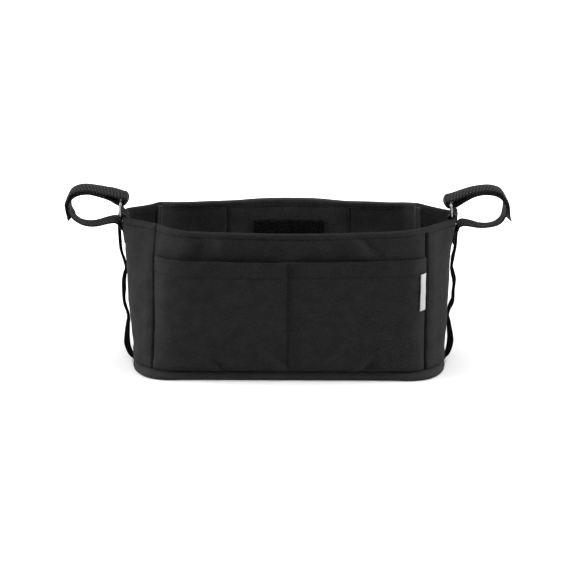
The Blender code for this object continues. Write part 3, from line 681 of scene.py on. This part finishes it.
# Dividers: two walls of doubled lining cloth across the bag, which make a cup well at each end.
# They are sewn in at the back lining's seams, with a folded top edge that dips between its ends.
DIVIDER_X, DIVIDER_LOW, DIVIDER_TOP, DIVIDER_DIP = 66.0, 4.9, 108.0, 7.0
HALF_THICK, FOLD_HIGH = 1.2, 2.6
heights = np.linspace(DIVIDER_LOW, DIVIDER_TOP, 46)
turns = np.linspace(0, math.pi, 9)[1:-1]
fold = [(HALF_THICK * math.cos(a), DIVIDER_TOP + FOLD_HIGH * math.sin(a)) for a in turns]
section = [(HALF_THICK, z) for z in heights] + fold + [(-HALF_THICK, z) for z in heights[::-1]]
ts = np.linspace(0, 1, 56)
dip = DIVIDER_DIP * (1 - (2 * ts - 1) ** 2)
for side, word in ((-1, "left"), (1, "right")):
    x0 = DIVIDER_X * side
    k_front, k_back = k_at(x0, 80, LINING_D, -12, 12), k_at(x0, 80, LINING_D, 12, 36)
    rows = []
    for off, height in section:
        z = DIVIDER_LOW + (height - DIVIDER_LOW) * (1 - dip / 110.0)
        front = wall(k_front, z, LINING_D - 1.3)[:, 1]
        back = wall(k_back, z, LINING_D - 1.3)[:, 1]
        y = front + (back - front) * ts
        wave = 0.9 * swell(y, z, 60, 51 + side) * np.sin(math.pi * ts)
        x = x0 + off + wave - 0.35 * np.sign(off) * bump(z, 104.0, 1.0)
        rows.append((np.stack([x, y, z], axis=-1), np.stack([y, z + off * 3], axis=-1)))
    cloth = grid_piece("divider_" + word + "_cloth", rows, lining_cloth, turned=True)
    place(cloth, "lining_fabric", "divider_" + word)


# Patch: an oblong of loop tape with rounded corners, sewn round its border to the middle of the back lining.
# Brushed nylon loops: no shine at all, nearly black, with tangled tufts that catch a little light.
def pile_cloth(name, color, scale, depth):
    mat, tree, surface = new_material(name, color, 0.95, 0.02)
    uv = add(tree, "ShaderNodeUVMap", uv_map="cloth_mm")
    loops = add(tree, NOISE, {"Vector": uv, "Scale": scale, "Detail": 5.0, "Roughness": 0.75,
                              "Distortion": 1.2})
    tufts = add(tree, "ShaderNodeMapRange", {"Value": loops, "From Min": 0.4, "From Max": 0.62})
    dye_and_relief(tree, surface, tufts, "#040404", color, loops, depth)
    return mat


patch_pile = pile_cloth("black_loop_pile", "#2a2a2a", 0.6, 1.6)
PATCH_LOW, PATCH_HIGH, PATCH_CORNER = 85.4, 50.4, 3.4
cols = np.linspace(-38.2, 37.2, 64)
rows = []
for v in np.linspace(0, 1, 44):
    z = PATCH_LOW + PATCH_HIGH * v
    off_edge = min(v, 1 - v) * PATCH_HIGH
    corner = max(0.0, PATCH_CORNER - off_edge)
    cut = PATCH_CORNER - math.sqrt(max(PATCH_CORNER ** 2 - corner ** 2, 0.0))
    x = cols * (1 - cut / 38.0)
    k = np.interp(x, x[[0, -1]], [k_at(a, z, LINING_D, 22, 26) for a in x[[0, -1]]])
    edge = np.minimum(np.minimum(x - x[0], x[-1] - x) / 1.2, off_edge / 1.2)
    lift = 1.1 * np.sqrt(np.clip(edge, 0, 1)) + 0.3
    rows.append(cloth_row(k, z, LINING_D + np.minimum(lining_relief(k, z, BACK_SEED), 0) - lift, x, z))
place(grid_piece("loop_pile_patch", rows, patch_pile, thickness=0.5, turned=True), "pile", "loop_patch")

border = [(-36.2, 87.6), (-36.2, 133.6), (35.2, 133.6), (35.2, 87.6), (-36.2, 87.6)]
border_lines = []
for (x0, z0), (x1, z1) in zip(border[:-1], border[1:]):
    points = []
    for t in np.linspace(0, 1, int(math.hypot(x1 - x0, z1 - z0) / 2) + 2):
        x, z = x0 + (x1 - x0) * t, z0 + (z1 - z0) * t
        k = k_at(x, z, LINING_D, 22, 26)
        stand = min(float(lining_relief(np.array([k, k]), z, BACK_SEED)[0]), 0)
        points.append(wall(k, z, LINING_D + stand - 1.55))
    border_lines.append((np.array(points), (0.0, -1.0, 0.0)))
sew("patch_border_stitches", "pile", border_lines, thickness=0.5)

# Bindings: narrow tapes folded over the raw edges of the four inner corner seams and sewn through.
# Satin-faced polyester: a little smoother than the lining beside it, with a soft shine along its roll.
binding_cloth = woven("charcoal_satin_binding", "#292929", "#393939", 0.6, 0.9, 0.08, specular=0.04)
s = np.linspace(-1, 1, 13)
for seam, word, wide, stand in ((SEAM_RF, "front_right", 3.4, 1.6), (SEAM_RB - 0.22, "back_right", 4.2, 1.8),
                                (SEAM_LB + 0.3, "back_left", 3.2, 1.4), (SEAM_LF, "front_left", 3.0, 1.6)):
    k = np.interp(np.linspace(wide, -wide, 13), [-wide, wide], [seam - wide / 9.0, seam + wide / 9.0])
    rows = []
    for z in rows_between(5.0, 157.0, 3.0):
        roll = stand * np.sqrt(np.clip(1 - np.abs(s) ** 2.2, 0, 1)) * np.clip((158 - z) / 8 + 0.55, 0, 1)
        ripple = 0.25 * swell(s * 3, z, 22, 61) + 0.45 * np.cos(s * 7.5) * (0.6 + 0.4 * math.sin(z * 0.21))
        rows.append(cloth_row(k, z, LINING_D - 0.5 - roll + ripple, s * wide, z))
    tape = grid_piece("binding_tape_" + word, rows, binding_cloth, thickness=0.4)
    place(tape, "lining_fabric", "binding_" + word)


# Strap loops: at each end one length of webbing, sewn flat to the end, taken out and round in a loop, through
# the ring's top bar and back over itself. Hook tape and loop tape are sewn between its layers.
# Ribbed polypropylene webbing: its colour is dark between the ribs as painted shade, with small pale floats
# as painted highlight where they catch the light, and fewer of them toward its two edges.
def webbing_cloth(name, dark, light, rough, rib, depth):
    mat, tree, surface = new_material(name, dark, rough, 0.04)
    uv = add(tree, "ShaderNodeUVMap", uv_map="cloth_mm")
    along_it = add(tree, "ShaderNodeSeparateXYZ", {0: uv}, out="X")
    across_it = add(tree, "ShaderNodeSeparateXYZ", {0: uv}, out="Y")
    row = add(tree, MATH, {0: across_it, 1: rib}, operation="DIVIDE")
    row = add(tree, MATH, {0: row}, operation="FLOOR")
    odd = add(tree, MATH, {0: row, 1: 2.0}, operation="MODULO")
    slant = add(tree, MATH, {0: odd, 1: rib * 0.62, 2: along_it}, operation="MULTIPLY_ADD")
    slant = add(tree, MATH, {0: across_it, 1: 0.35, 2: slant}, operation="MULTIPLY_ADD")
    yarns = []
    for at, width, sharp in ((across_it, rib, 0.6), (slant, rib * 1.25, 0.7)):
        wave = add(tree, MATH, {0: at, 1: math.pi / width}, operation="MULTIPLY")
        wave = add(tree, MATH, {0: wave}, operation="SINE")
        wave = add(tree, MATH, {0: wave}, operation="ABSOLUTE")
        yarns.append(add(tree, MATH, {0: wave, 1: sharp}, operation="POWER"))
    floats = add(tree, MATH, {0: yarns[0], 1: yarns[1]}, operation="MULTIPLY")
    fuzz = add(tree, NOISE, {"Vector": uv, "Scale": 2.2, "Detail": 3.0})
    relief = add(tree, MATH, {0: fuzz, 1: 0.35, 2: floats}, operation="MULTIPLY_ADD")
    off_middle = add(tree, MATH, {0: across_it}, operation="ABSOLUTE")
    edge = add(tree, "ShaderNodeMapRange",
               {"Value": off_middle, "From Min": 10.9, "From Max": 11.7, "To Min": 1.0, "To Max": 0.6})
    # Pale tops of the floats lighten the colour as painted highlight, and the dark between them is painted
    # shade
    float_highlight = add(tree, MATH, {0: floats, 1: 3.2}, operation="POWER")
    mix = add(tree, MATH, {0: float_highlight, 1: edge}, operation="MULTIPLY")
    dye_and_relief(tree, surface, mix, dark, light, relief, depth)
    return mat


# The ribs are drawn 2.9 mm apart, coarser than the real ones, so that they show
strap_cloth = webbing_cloth("black_ribbed_webbing", "#060606", "#414141", 0.6, 2.9, 1.0)
# Hook and loop tapes pressed together: a matt, fuzzy charcoal edge between the layers
strap_pile = pile_cloth("charcoal_hook_and_loop", "#2c2c2c", 1.4, 0.5)


# Smooth curve through points, resampled at even steps
def even_curve(points, step):
    pts = np.array(points, float)
    pad = np.vstack([2 * pts[0] - pts[1], pts, 2 * pts[-1] - pts[-2]])
    curve = []
    for i in range(1, len(pad) - 2):
        curve += [smooth_between(*pad[i - 1:i + 3], u) for u in np.linspace(0, 1, 24, endpoint=False)]
    curve = np.array(curve + [pts[-1]])
    run = run_along(curve)
    return at_marks(np.linspace(0, run[-1], max(int(run[-1] / step), 4)), run, curve)


# Closes a tube with faces on its ends, or by joining rows that lie on each other, and turns its faces out
def close_up(obj, ends=(), join=False):
    bm = bmesh.new()
    bm.from_mesh(obj.data)
    bm.verts.ensure_lookup_table()
    for end in ends:
        bm.faces.new([bm.verts[i] for i in end])
    if join:
        bmesh.ops.remove_doubles(bm, verts=bm.verts, dist=1e-6)
    bmesh.ops.recalc_face_normals(bm, faces=bm.faces)
    bm.to_mesh(obj.data)
    bm.free()


# Middle of the strap's loop, seen from the front
LOOP_MIDDLE = np.array([203.0, 166.0])


# Flat band swept along a path of (x, z, dx/dy, dz/dy), its width near Y, its edges rounded.
# Shift moves its points along Y, and crown bows its edges in toward the middle of the strap's loop.
def band(name, path, width, thick, mat, side, crown=None, shift=0.0):
    xz = path[:, :2]
    t = np.gradient(xz, axis=0)
    t /= np.linalg.norm(t, axis=1, keepdims=True)
    t3 = np.stack([t[:, 0], np.zeros(len(t)), t[:, 1]], axis=-1)
    wide = np.stack([path[:, 2], np.ones(len(t)), path[:, 3]], axis=-1)
    wide -= t3 * np.sum(wide * t3, axis=1, keepdims=True)
    wide /= np.linalg.norm(wide, axis=1, keepdims=True)
    normal = np.cross(t3, wide)
    centre = np.stack(np.broadcast_arrays(xz[:, 0], shift, xz[:, 1]), axis=-1)
    h, w = thick / 2, width / 2
    flat = w - h * 0.7
    across = np.linspace(-flat, flat, 15)
    turn = np.linspace(0, math.pi, 7)[1:-1]
    section = [(a, h, a) for a in across]
    section += [(flat + h * 0.7 * math.sin(a), h * math.cos(a), w) for a in turn]
    section += [(a, -h, a) for a in across[::-1]]
    section += [(-flat - h * 0.7 * math.sin(a), -h * math.cos(a), -w) for a in turn[::-1]]
    section = np.array(section)
    pts = centre[:, None] + wide[:, None] * section[None, :, :1] + normal[:, None] * section[None, :, 1:2]
    if crown is not None:
        inward = LOOP_MIDDLE - xz
        inward /= np.maximum(np.linalg.norm(inward, axis=1, keepdims=True), 1e-6)
        drop = crown[:, None] * (section[None, :, 0] / w) ** 2
        pts[..., 0] += inward[:, :1] * drop
        pts[..., 2] += inward[:, 1:] * drop
    pts[..., 0] *= side
    uvs = np.stack(np.broadcast_arrays(run_along(xz)[:, None], section[None, :, 2]), axis=-1)
    if side > 0:
        pts, uvs = pts[::-1], uvs[::-1]
    obj = grid_piece(name, list(zip(pts, uvs)), mat, closed=True)
    count, last = len(section), len(section) * (len(pts) - 1)
    close_up(obj, ends=(range(count - 1, -1, -1), range(last, last + count)))
    return obj


# Width and thickness of the webbing, and how far its middle lies off the bag's end
WEB_WIDE, WEB = 25.0, 1.5
END_D = 0.3 + WEB / 2
# Middles of the ring's lower and upper bars
RING_LOW = RIM + 0.9
RING_HIGH = RING_LOW + 14.6


# Point on the bag's end, a given drop below the rim and a distance out
def beside(drop, out):
    p = wall(TIP_R, RIM - drop, 0.0)
    return (float(p[0]) + out, float(p[2]))


def flat_path(points, slope=0.0):
    return [(x, z, slope, 0.0) for x, z in points]


def arc(cx, cz, radius, start, stop, count):
    angles = np.radians(np.linspace(start, stop, count))
    return [(cx + radius * math.cos(a), cz + radius * math.sin(a)) for a in angles]


def offset_path(points, amounts):
    pts = np.array(points, float)
    t = np.gradient(pts, axis=0)
    t /= np.linalg.norm(t, axis=1, keepdims=True)
    return pts + np.stack([-t[:, 1], t[:, 0]], axis=-1) * np.asarray(amounts, float)[:, None]


# Strap paths read outward from the bag: (x, z, dx/dy, dz/dy) in millimetres, first the lower run, then
# the upper run back to the ring, the fold round the ring's top bar, and the tail laid back over it
UNDER = {
    "left": [
        (177.4, 147.8, 0.02, 0.02), (178.8, 151.6, 0, 0.04), (182.2, 153.9, 0, 0.05),
        (187.0, 153.7, 0, 0.04), (193.0, 152.3, 0, 0.03), (199.0, 150.6, 0, 0.01), (205.0, 149.4, 0, -0.02),
        (211.5, 149.4, 0, -0.05), (218.0, 150.8, 0, -0.09), (224.0, 154.4, 0, -0.10),
        (228.6, 159.9, 0, -0.05), (230.5, 166.0, -0.02, 0),
    ],
    "right": [
        (176.8, 145.6, 0.02, 0), (178.0, 149.6, 0, 0), (181.6, 151.9, 0, 0.02), (187.2, 151.6, 0, 0.0),
        (193.2, 150.4, 0, -0.02), (199.0, 149.1, 0, -0.06), (205.5, 148.8, 0, -0.10),
        (212.0, 149.5, 0, -0.12), (218.0, 151.6, 0, -0.09), (222.8, 155.6, 0, -0.05),
        (225.4, 161.4, -0.04, 0), (226.2, 167.2, -0.06, 0),
    ],
}
OVER = {
    "left": [
        (230.8, 171.4, -0.02, 0), (229.6, 176.4, 0, 0.02), (226.6, 181.0, 0, 0.04), (222.0, 184.2, 0, 0.05),
        (216.6, 186.0, 0, 0.05), (210.0, 186.4, 0, 0.04), (204.0, 185.6, 0, 0.05), (198.0, 184.3, 0, 0.07),
        (192.0, 182.4, 0, 0.08), (185.9, 180.0, 0, 0.10), (180.6, 176.4, 0, 0.10), (176.2, 173.8, 0, 0.08),
    ],
    "right": [
        (226.2, 172.4, -0.05, 0), (224.2, 178.2, 0, 0.0), (220.0, 182.9, 0, 0.0), (214.0, 186.0, 0, 0.01),
        (208.0, 187.3, 0, 0.01), (202.0, 187.3, 0, 0.01), (196.0, 186.2, 0, 0.02), (190.0, 184.1, 0, 0.03),
        (183.0, 180.2, 0, 0.05), (177.2, 176.2, 0, 0.06), (172.8, 173.3, 0, 0.06), (169.0, 171.8, 0, 0.05),
    ],
}
# Fold round the top bar: middle, radius and turn of the webbing
FOLD = {"left": (172.6, 177.6, 4.0, 0.0, 0.05), "right": (165.8, 175.6, 4.0, 0.0, 0.05)}
TAIL = {
    "left": [
        (234.1, 173.8, -0.06, 0), (233.6, 169.2, -0.09, 0), (232.2, 164.4, -0.14, 0),
        (230.5, 160.0, -0.2, 0), (229.0, 156.2, -0.26, 0),
    ],
    "right": [
        (228.9, 175.2, -0.05, 0), (229.6, 170.2, -0.08, 0), (229.4, 165.2, -0.12, 0),
        (229.4, 160.8, -0.16, 0), (230.2, 156.6, -0.2, 0),
    ],
}
# How far the laid-back layer stands off the upper run at each of its points
LAP = {
    "left": [4.8, 4.8, 4.2, 3.8, 3.4, 3.2, 3.2, 3.4, 4.0, 5.2, 7.2, 8.0],
    "right": [3.8, 4.2, 4.2, 4.0, 3.6, 3.4, 3.6, 4.2, 5.4, 6.8, 8.0, 8.0],
}
# Place of each ring's wire, and how far the ring is turned and leans in
RINGS = {"left": (176.4, 0.0, 0.0), "right": (172.6, 12.0, 1.2)}
# How far the webbing bows across its width where it is gripped, and how many points of the upper run that is
DOME, GRIP = 1.8, 9
# The tapes between its layers there: piece, solid, distance under the upper run, width and slot
GRIP_TAPES = (
    ("_strap_pile", "_strap_loop_tape", -1.3, 24.2, "pile"),
    ("_strap_hooks", "_strap_hook_tape", -2.4, 24.0, "hook_face"),
)
for side, word in ((-1, "left"), (1, "right")):
    under = flat_path([beside(29.0, END_D), beside(22.0, END_D), beside(15.5, END_D + 0.1)]) + UNDER[word]
    over = np.array(OVER[word])
    outer = over.copy()
    outer[:, :2] = offset_path(over[:, :2], [-a for a in LAP[word]])
    fx, fz, fr, fdx, fdz = FOLD[word]
    fold = [(x, z, fdx, fdz) for x, z in arc(fx, fz, fr, 268.0, 92.0, 11)]
    path = under + [tuple(p) for p in over] + fold + [tuple(p) for p in outer[:1:-1]] + TAIL[word]
    domes = [0.0] * len(under) + list(np.linspace(0.2, DOME, 5))
    domes += [DOME] * (len(over) - 5 + len(fold) + len(outer) - 6)
    domes += list(np.linspace(1.7, 0.2, 4 + len(TAIL[word])))
    path = even_curve(np.column_stack([path, domes]), 1.2)
    strap = band(word + "_webbing_strap", path, WEB_WIDE, WEB, strap_cloth, side, crown=path[:, 4])
    place(strap, "webbing", word + "_strap")
    grip = over[:GRIP]
    for piece, node, off, wide, slot in GRIP_TAPES:
        line = grip.copy()
        line[:, :2] = offset_path(grip[:, :2], [off] * len(grip))
        line = even_curve(line, 1.6)
        crown = np.interp(np.linspace(0, 1, len(line)), [0, 0.45, 1], [0.2, DOME, DOME])
        place(band(word + piece, line, wide, 1.1, strap_pile, side, crown=crown), slot, word + node)

# Ring tabs: a short length of the same webbing at each end, sewn to the wall inside and out and folded
# over the rim, with the ring's lower bar in its fold.
for side, word in ((-1, "left"), (1, "right")):
    ring_x, yaw, lean = RINGS[word]
    slope = math.tan(math.radians(yaw))
    over_rim = [(ring_x - 3.2, RING_LOW + 0.6), (min(ring_x - 4.6, 171.6), RIM + 0.5), (169.8, RIM - 2.4),
                (168.2, RIM - 13.5)]
    tab = flat_path([beside(6.6, END_D), beside(2.0, max(END_D, ring_x - 174.2))], slope * 0.5)
    tab += flat_path(arc(ring_x, RING_LOW, 2.4, -10.0, 180.0, 8) + over_rim, slope)
    tab = band(word + "_webbing_tab", even_curve(tab, 1.0), WEB_WIDE, WEB, strap_cloth, side)
    place(tab, "webbing", word + "_ring_tab")

# Rings: round steel wire bent to a rounded oblong and welded, standing in the fold of the tab.
# Nickel plate over drawn wire: a bright grey metal, with fine scratches that break up its glints.
nickel, tree, surface = new_material("nickel_plated_wire", "#6c6c6c", 0.28, 0.5, metallic=1.0)
places = add(tree, "ShaderNodeTexCoord", out="Object")
scratches = add(tree, NOISE, {"Vector": places, "Scale": 900.0, "Detail": 2.0})
polish = add(tree, "ShaderNodeMapRange", {"Value": scratches, "To Min": 0.16, "To Max": 0.34})
tree.links.new(polish, surface["Roughness"])
CORNER_R, HALF_WIDE, WIRE_R, SIDES = 2.4, 14.2, 1.4, 20
outline = []
for y_way, z_corner, start in ((1, RING_HIGH - CORNER_R, 0), (-1, RING_HIGH - CORNER_R, 90),
                               (-1, RING_LOW + CORNER_R, 180), (1, RING_LOW + CORNER_R, 270)):
    outline += arc(y_way * (HALF_WIDE - CORNER_R), z_corner, CORNER_R, start, start + 90, 10)
outline = np.array(outline + outline[:1])
run = run_along(outline)
line = at_marks(np.linspace(0, run[-1], 150, endpoint=False), run, outline)
tangent = np.roll(line, -1, axis=0) - np.roll(line, 1, axis=0)
tangent /= np.linalg.norm(tangent, axis=1, keepdims=True)
a = np.linspace(0, 2 * math.pi, SIDES, endpoint=False)
for side, word in ((-1, "left"), (1, "right")):
    ring_x, yaw, lean = RINGS[word]
    cos_yaw, sin_yaw = math.cos(math.radians(yaw * -side)), math.sin(math.radians(yaw * -side))
    rows = []
    for p, t in zip(line, tangent):
        x = WIRE_R * np.sin(a)
        y = p[0] + WIRE_R * np.cos(a) * t[1]
        z = p[1] - WIRE_R * np.cos(a) * t[0]
        tip = lean * (z - RING_LOW) / (RING_HIGH - RING_LOW)
        turned_x = side * (ring_x - tip) + x * cos_yaw - y * sin_yaw
        points = np.stack([turned_x, x * sin_yaw + y * cos_yaw, z], axis=-1)
        rows.append((points, np.zeros((SIDES, 2))))
    ring = grid_piece(word + "_wire_ring", rows + rows[:1], nickel, closed=True)
    close_up(ring, join=True)
    place(ring, "ring_metal", word + "_ring")

# Side tapes: a narrow woven tape down each end, tacked flat at the top, twice between and at the base, with
# three slack loops that turn a little. Fine spun yarns, dyed black: the darkest and dullest cloth here.
tape_cloth = woven("black_narrow_tape", "#040404", "#080808", 0.8, 0.9, 0.16, specular=0.0)
# Each point: height, distance out, turn in degrees, and shift along Y, which is toward the front
TAPES = {
    "left": [
        (151.5, 178.2, 18, 0), (145.4, 179, 19, 0), (138.8, 178.9, 19, 0), (132.1, 178.6, 19, 0),
        (125.5, 178.3, 19, 0), (118.9, 177.5, 19, 0), (112.2, 175.4, 21, 0), (105.5, 173.7, 19, 0),
        (98.8, 173, 14, 0), (92.1, 174.6, 20, 0), (85.4, 175.5, 24, 0), (78.7, 175.6, 27, 0),
        (71.9, 176, 20, 0), (65.2, 175.8, 19, -0.3), (58.4, 174.5, 24, -0.9), (51.6, 172.2, 21, -1.7),
        (44.8, 171.2, 18, -2.8), (38, 172, 24, -3.9), (31.2, 172.6, 30, -5.3), (24.3, 172.9, 36, -6.8),
        (17.5, 172.7, 44, -8.4), (10.6, 170.4, 46, -10.1), (5.5, 167.8, 38, -11.5), (2.2, 165.7, 16, -12.4),
    ],
    "right": [
        (148.9, 176.8, 18, 0), (142.3, 176.2, 19, 0), (135.7, 175.7, 19, 0), (129.1, 175.5, 19, 0),
        (122.4, 174.8, 21, 0), (115.8, 173.4, 24, 0), (109.1, 172.7, 20, 0), (102.4, 172.1, 16, 0),
        (95.7, 173.6, 21, 0), (89, 175.2, 22, 0), (82.3, 175.2, 19, 0), (75.5, 174.5, 19, 0),
        (68.8, 174.4, 22, -0.1), (62, 172.7, 38, -0.6), (55.2, 170.6, 24, -1.3), (48.4, 169.3, 16, -2.2),
        (41.6, 170.5, 22, -3.3), (34.8, 171.3, 30, -4.5), (28, 172.2, 38, -5.9), (21.1, 172.4, 46, -7.5),
        (14.2, 171, 46, -9.2), (8.5, 168.8, 40, -10.7), (4.5, 166.8, 19, -11.8), (2.2, 165.5, 16, -12.4),
    ],
}
TACK_HEIGHTS = {
    "left": (100.4, 99.2, 98.0, 46.0, 44.8, 43.6), "right": (103.6, 102.4, 101.2, 49.4, 48.2, 47.0),
}
TACK_HALF, TAPE_WIDE, TAPE_THICK = 4.2, 10.0, 1.6
tack_lines = []
for side, word in ((-1, "left"), (1, "right")):
    stops = [(x, z, math.tan(math.radians(turned)), 0.0, shift) for z, x, turned, shift in TAPES[word]]
    path = even_curve(stops, 1.2)
    tape = band(word + "_narrow_tape", path, TAPE_WIDE, TAPE_THICK, tape_cloth, side, shift=path[:, 4])
    place(tape, "narrow_tape", word + "_side_tape")
    heights, outs = ([point[i] for point in TAPES[word][::-1]] for i in (0, 1))
    for z in TACK_HEIGHTS[word]:
        x = side * (float(np.interp(z, heights, outs)) + 0.75)
        tack_lines.append((np.array([(x, -TACK_HALF, z), (x, TACK_HALF, z)]), (float(side), 0.0, 0.0)))
sew("side_tape_bar_tacks", "narrow_tape", tack_lines, pitch=1.5, length=1.3, thickness=0.5)


# Floor: a wide sweep of white paper under the bag. Near the bag it is lit and takes the soft shadow,
# and further out it shows its own white, where the camera or a reflection looks at it.
def looked_at(tree):
    rays = add(tree, "ShaderNodeLightPath").node.outputs
    seen = rays["Is Camera Ray"]
    for other in ("Is Glossy Ray", "Is Transmission Ray"):
        seen = add(tree, MATH, {0: seen, 1: rays[other]}, operation="MAXIMUM")
    return seen


# Matt white paper without any shine
sweep, tree, surface = new_material("white_sweep", "#e2e2e2", 0.9, 0.0)
spot = add(tree, "ShaderNodeNewGeometry", out="Position")
far = add(tree, "ShaderNodeVectorMath", {0: spot}, out="Value", operation="LENGTH")
whiter = add(tree, "ShaderNodeMapRange", {"Value": far, "From Min": 0.26, "From Max": 0.75, "To Min": 0.09,
                                          "To Max": 1.0}, interpolation_type="SMOOTHSTEP")
strength = add(tree, MATH, {0: looked_at(tree), 1: whiter}, operation="MULTIPLY")
own_white = add(tree, "ShaderNodeEmission", {"Strength": strength})
paper = tree.nodes["Principled BSDF"].outputs[0]
both = add(tree, "ShaderNodeAddShader", {0: paper, 1: own_white})
tree.links.new(both, tree.nodes["Material Output"].inputs["Surface"])
FLOOR_HALF = 6
floor_mesh = bpy.data.meshes.new("floor")
corners = [(x * FLOOR_HALF, y * FLOOR_HALF, 0) for x, y in ((-1, -1), (1, -1), (1, 1), (-1, 1))]
floor_mesh.from_pydata(corners, [], [(0, 1, 2, 3)])
floor_mesh.materials.append(sweep)
linked("floor", floor_mesh)

# Studio: a dim white room that looks plain white itself, and five softboxes. The strongest two stand at the
# sides, so that seams and folds show by their shade and the front stays dark.
world = bpy.data.worlds.new("studio")
bpy.context.scene.world = world
world.use_nodes = True
tree = world.node_tree
room = tree.nodes["Background"].inputs
room["Color"].default_value = (1, 1, 1, 1)
light = add(tree, "ShaderNodeMapRange", {"Value": looked_at(tree), "To Min": 0.16, "To Max": 1.0})
tree.links.new(light, room["Strength"])
for name, stand, aim_z, size, power in (
        ("left_softbox", (-1.9, -0.08, 0.65), 0.08, (1.0, 1.2), 67),
        ("right_softbox", (1.9, -0.08, 0.65), 0.08, (1.0, 1.2), 61),
        ("top_softbox", (0.0, 0.1, 1.7), 0.05, (1.4, 1.0), 20),
        ("front_softbox", (0.0, -1.3, 1.7), 0.1, (1.2, 0.8), 8),
        ("back_softbox", (0.0, 1.5, 1.3), 0.1, (1.2, 0.8), 4)):
    data = bpy.data.lights.new(name, "AREA")
    data.shape = "RECTANGLE"
    data.size, data.size_y = size
    data.energy = power
    softbox = linked(name, data)
    softbox.location = stand
    softbox.rotation_euler = (Vector((0, 0, aim_z)) - Vector(stand)).to_track_quat("-Z", "Y").to_euler()

# Camera: a long lens a little above the bag, turned by a fraction of a degree
TARGET = Vector((-0.0017, 0.0, 0.0788))
DISTANCE, ELEVATION, ROLL = 2.2, math.radians(18.5), math.radians(0.22)
lens = bpy.data.cameras.new("camera")
lens.sensor_width = 36.0
lens.lens = 129.46
camera = linked("camera", lens)
camera.location = TARGET + Vector((0.0, -math.cos(ELEVATION), math.sin(ELEVATION))) * DISTANCE
aimed = (TARGET - camera.location).to_track_quat("-Z", "Y").to_matrix()
camera.rotation_euler = (aimed @ Matrix.Rotation(ROLL, 3, "Z")).to_euler()
bpy.context.scene.camera = camera
bpy.context.scene.view_settings.view_transform = "Standard"

bpy.context.view_layer.update()
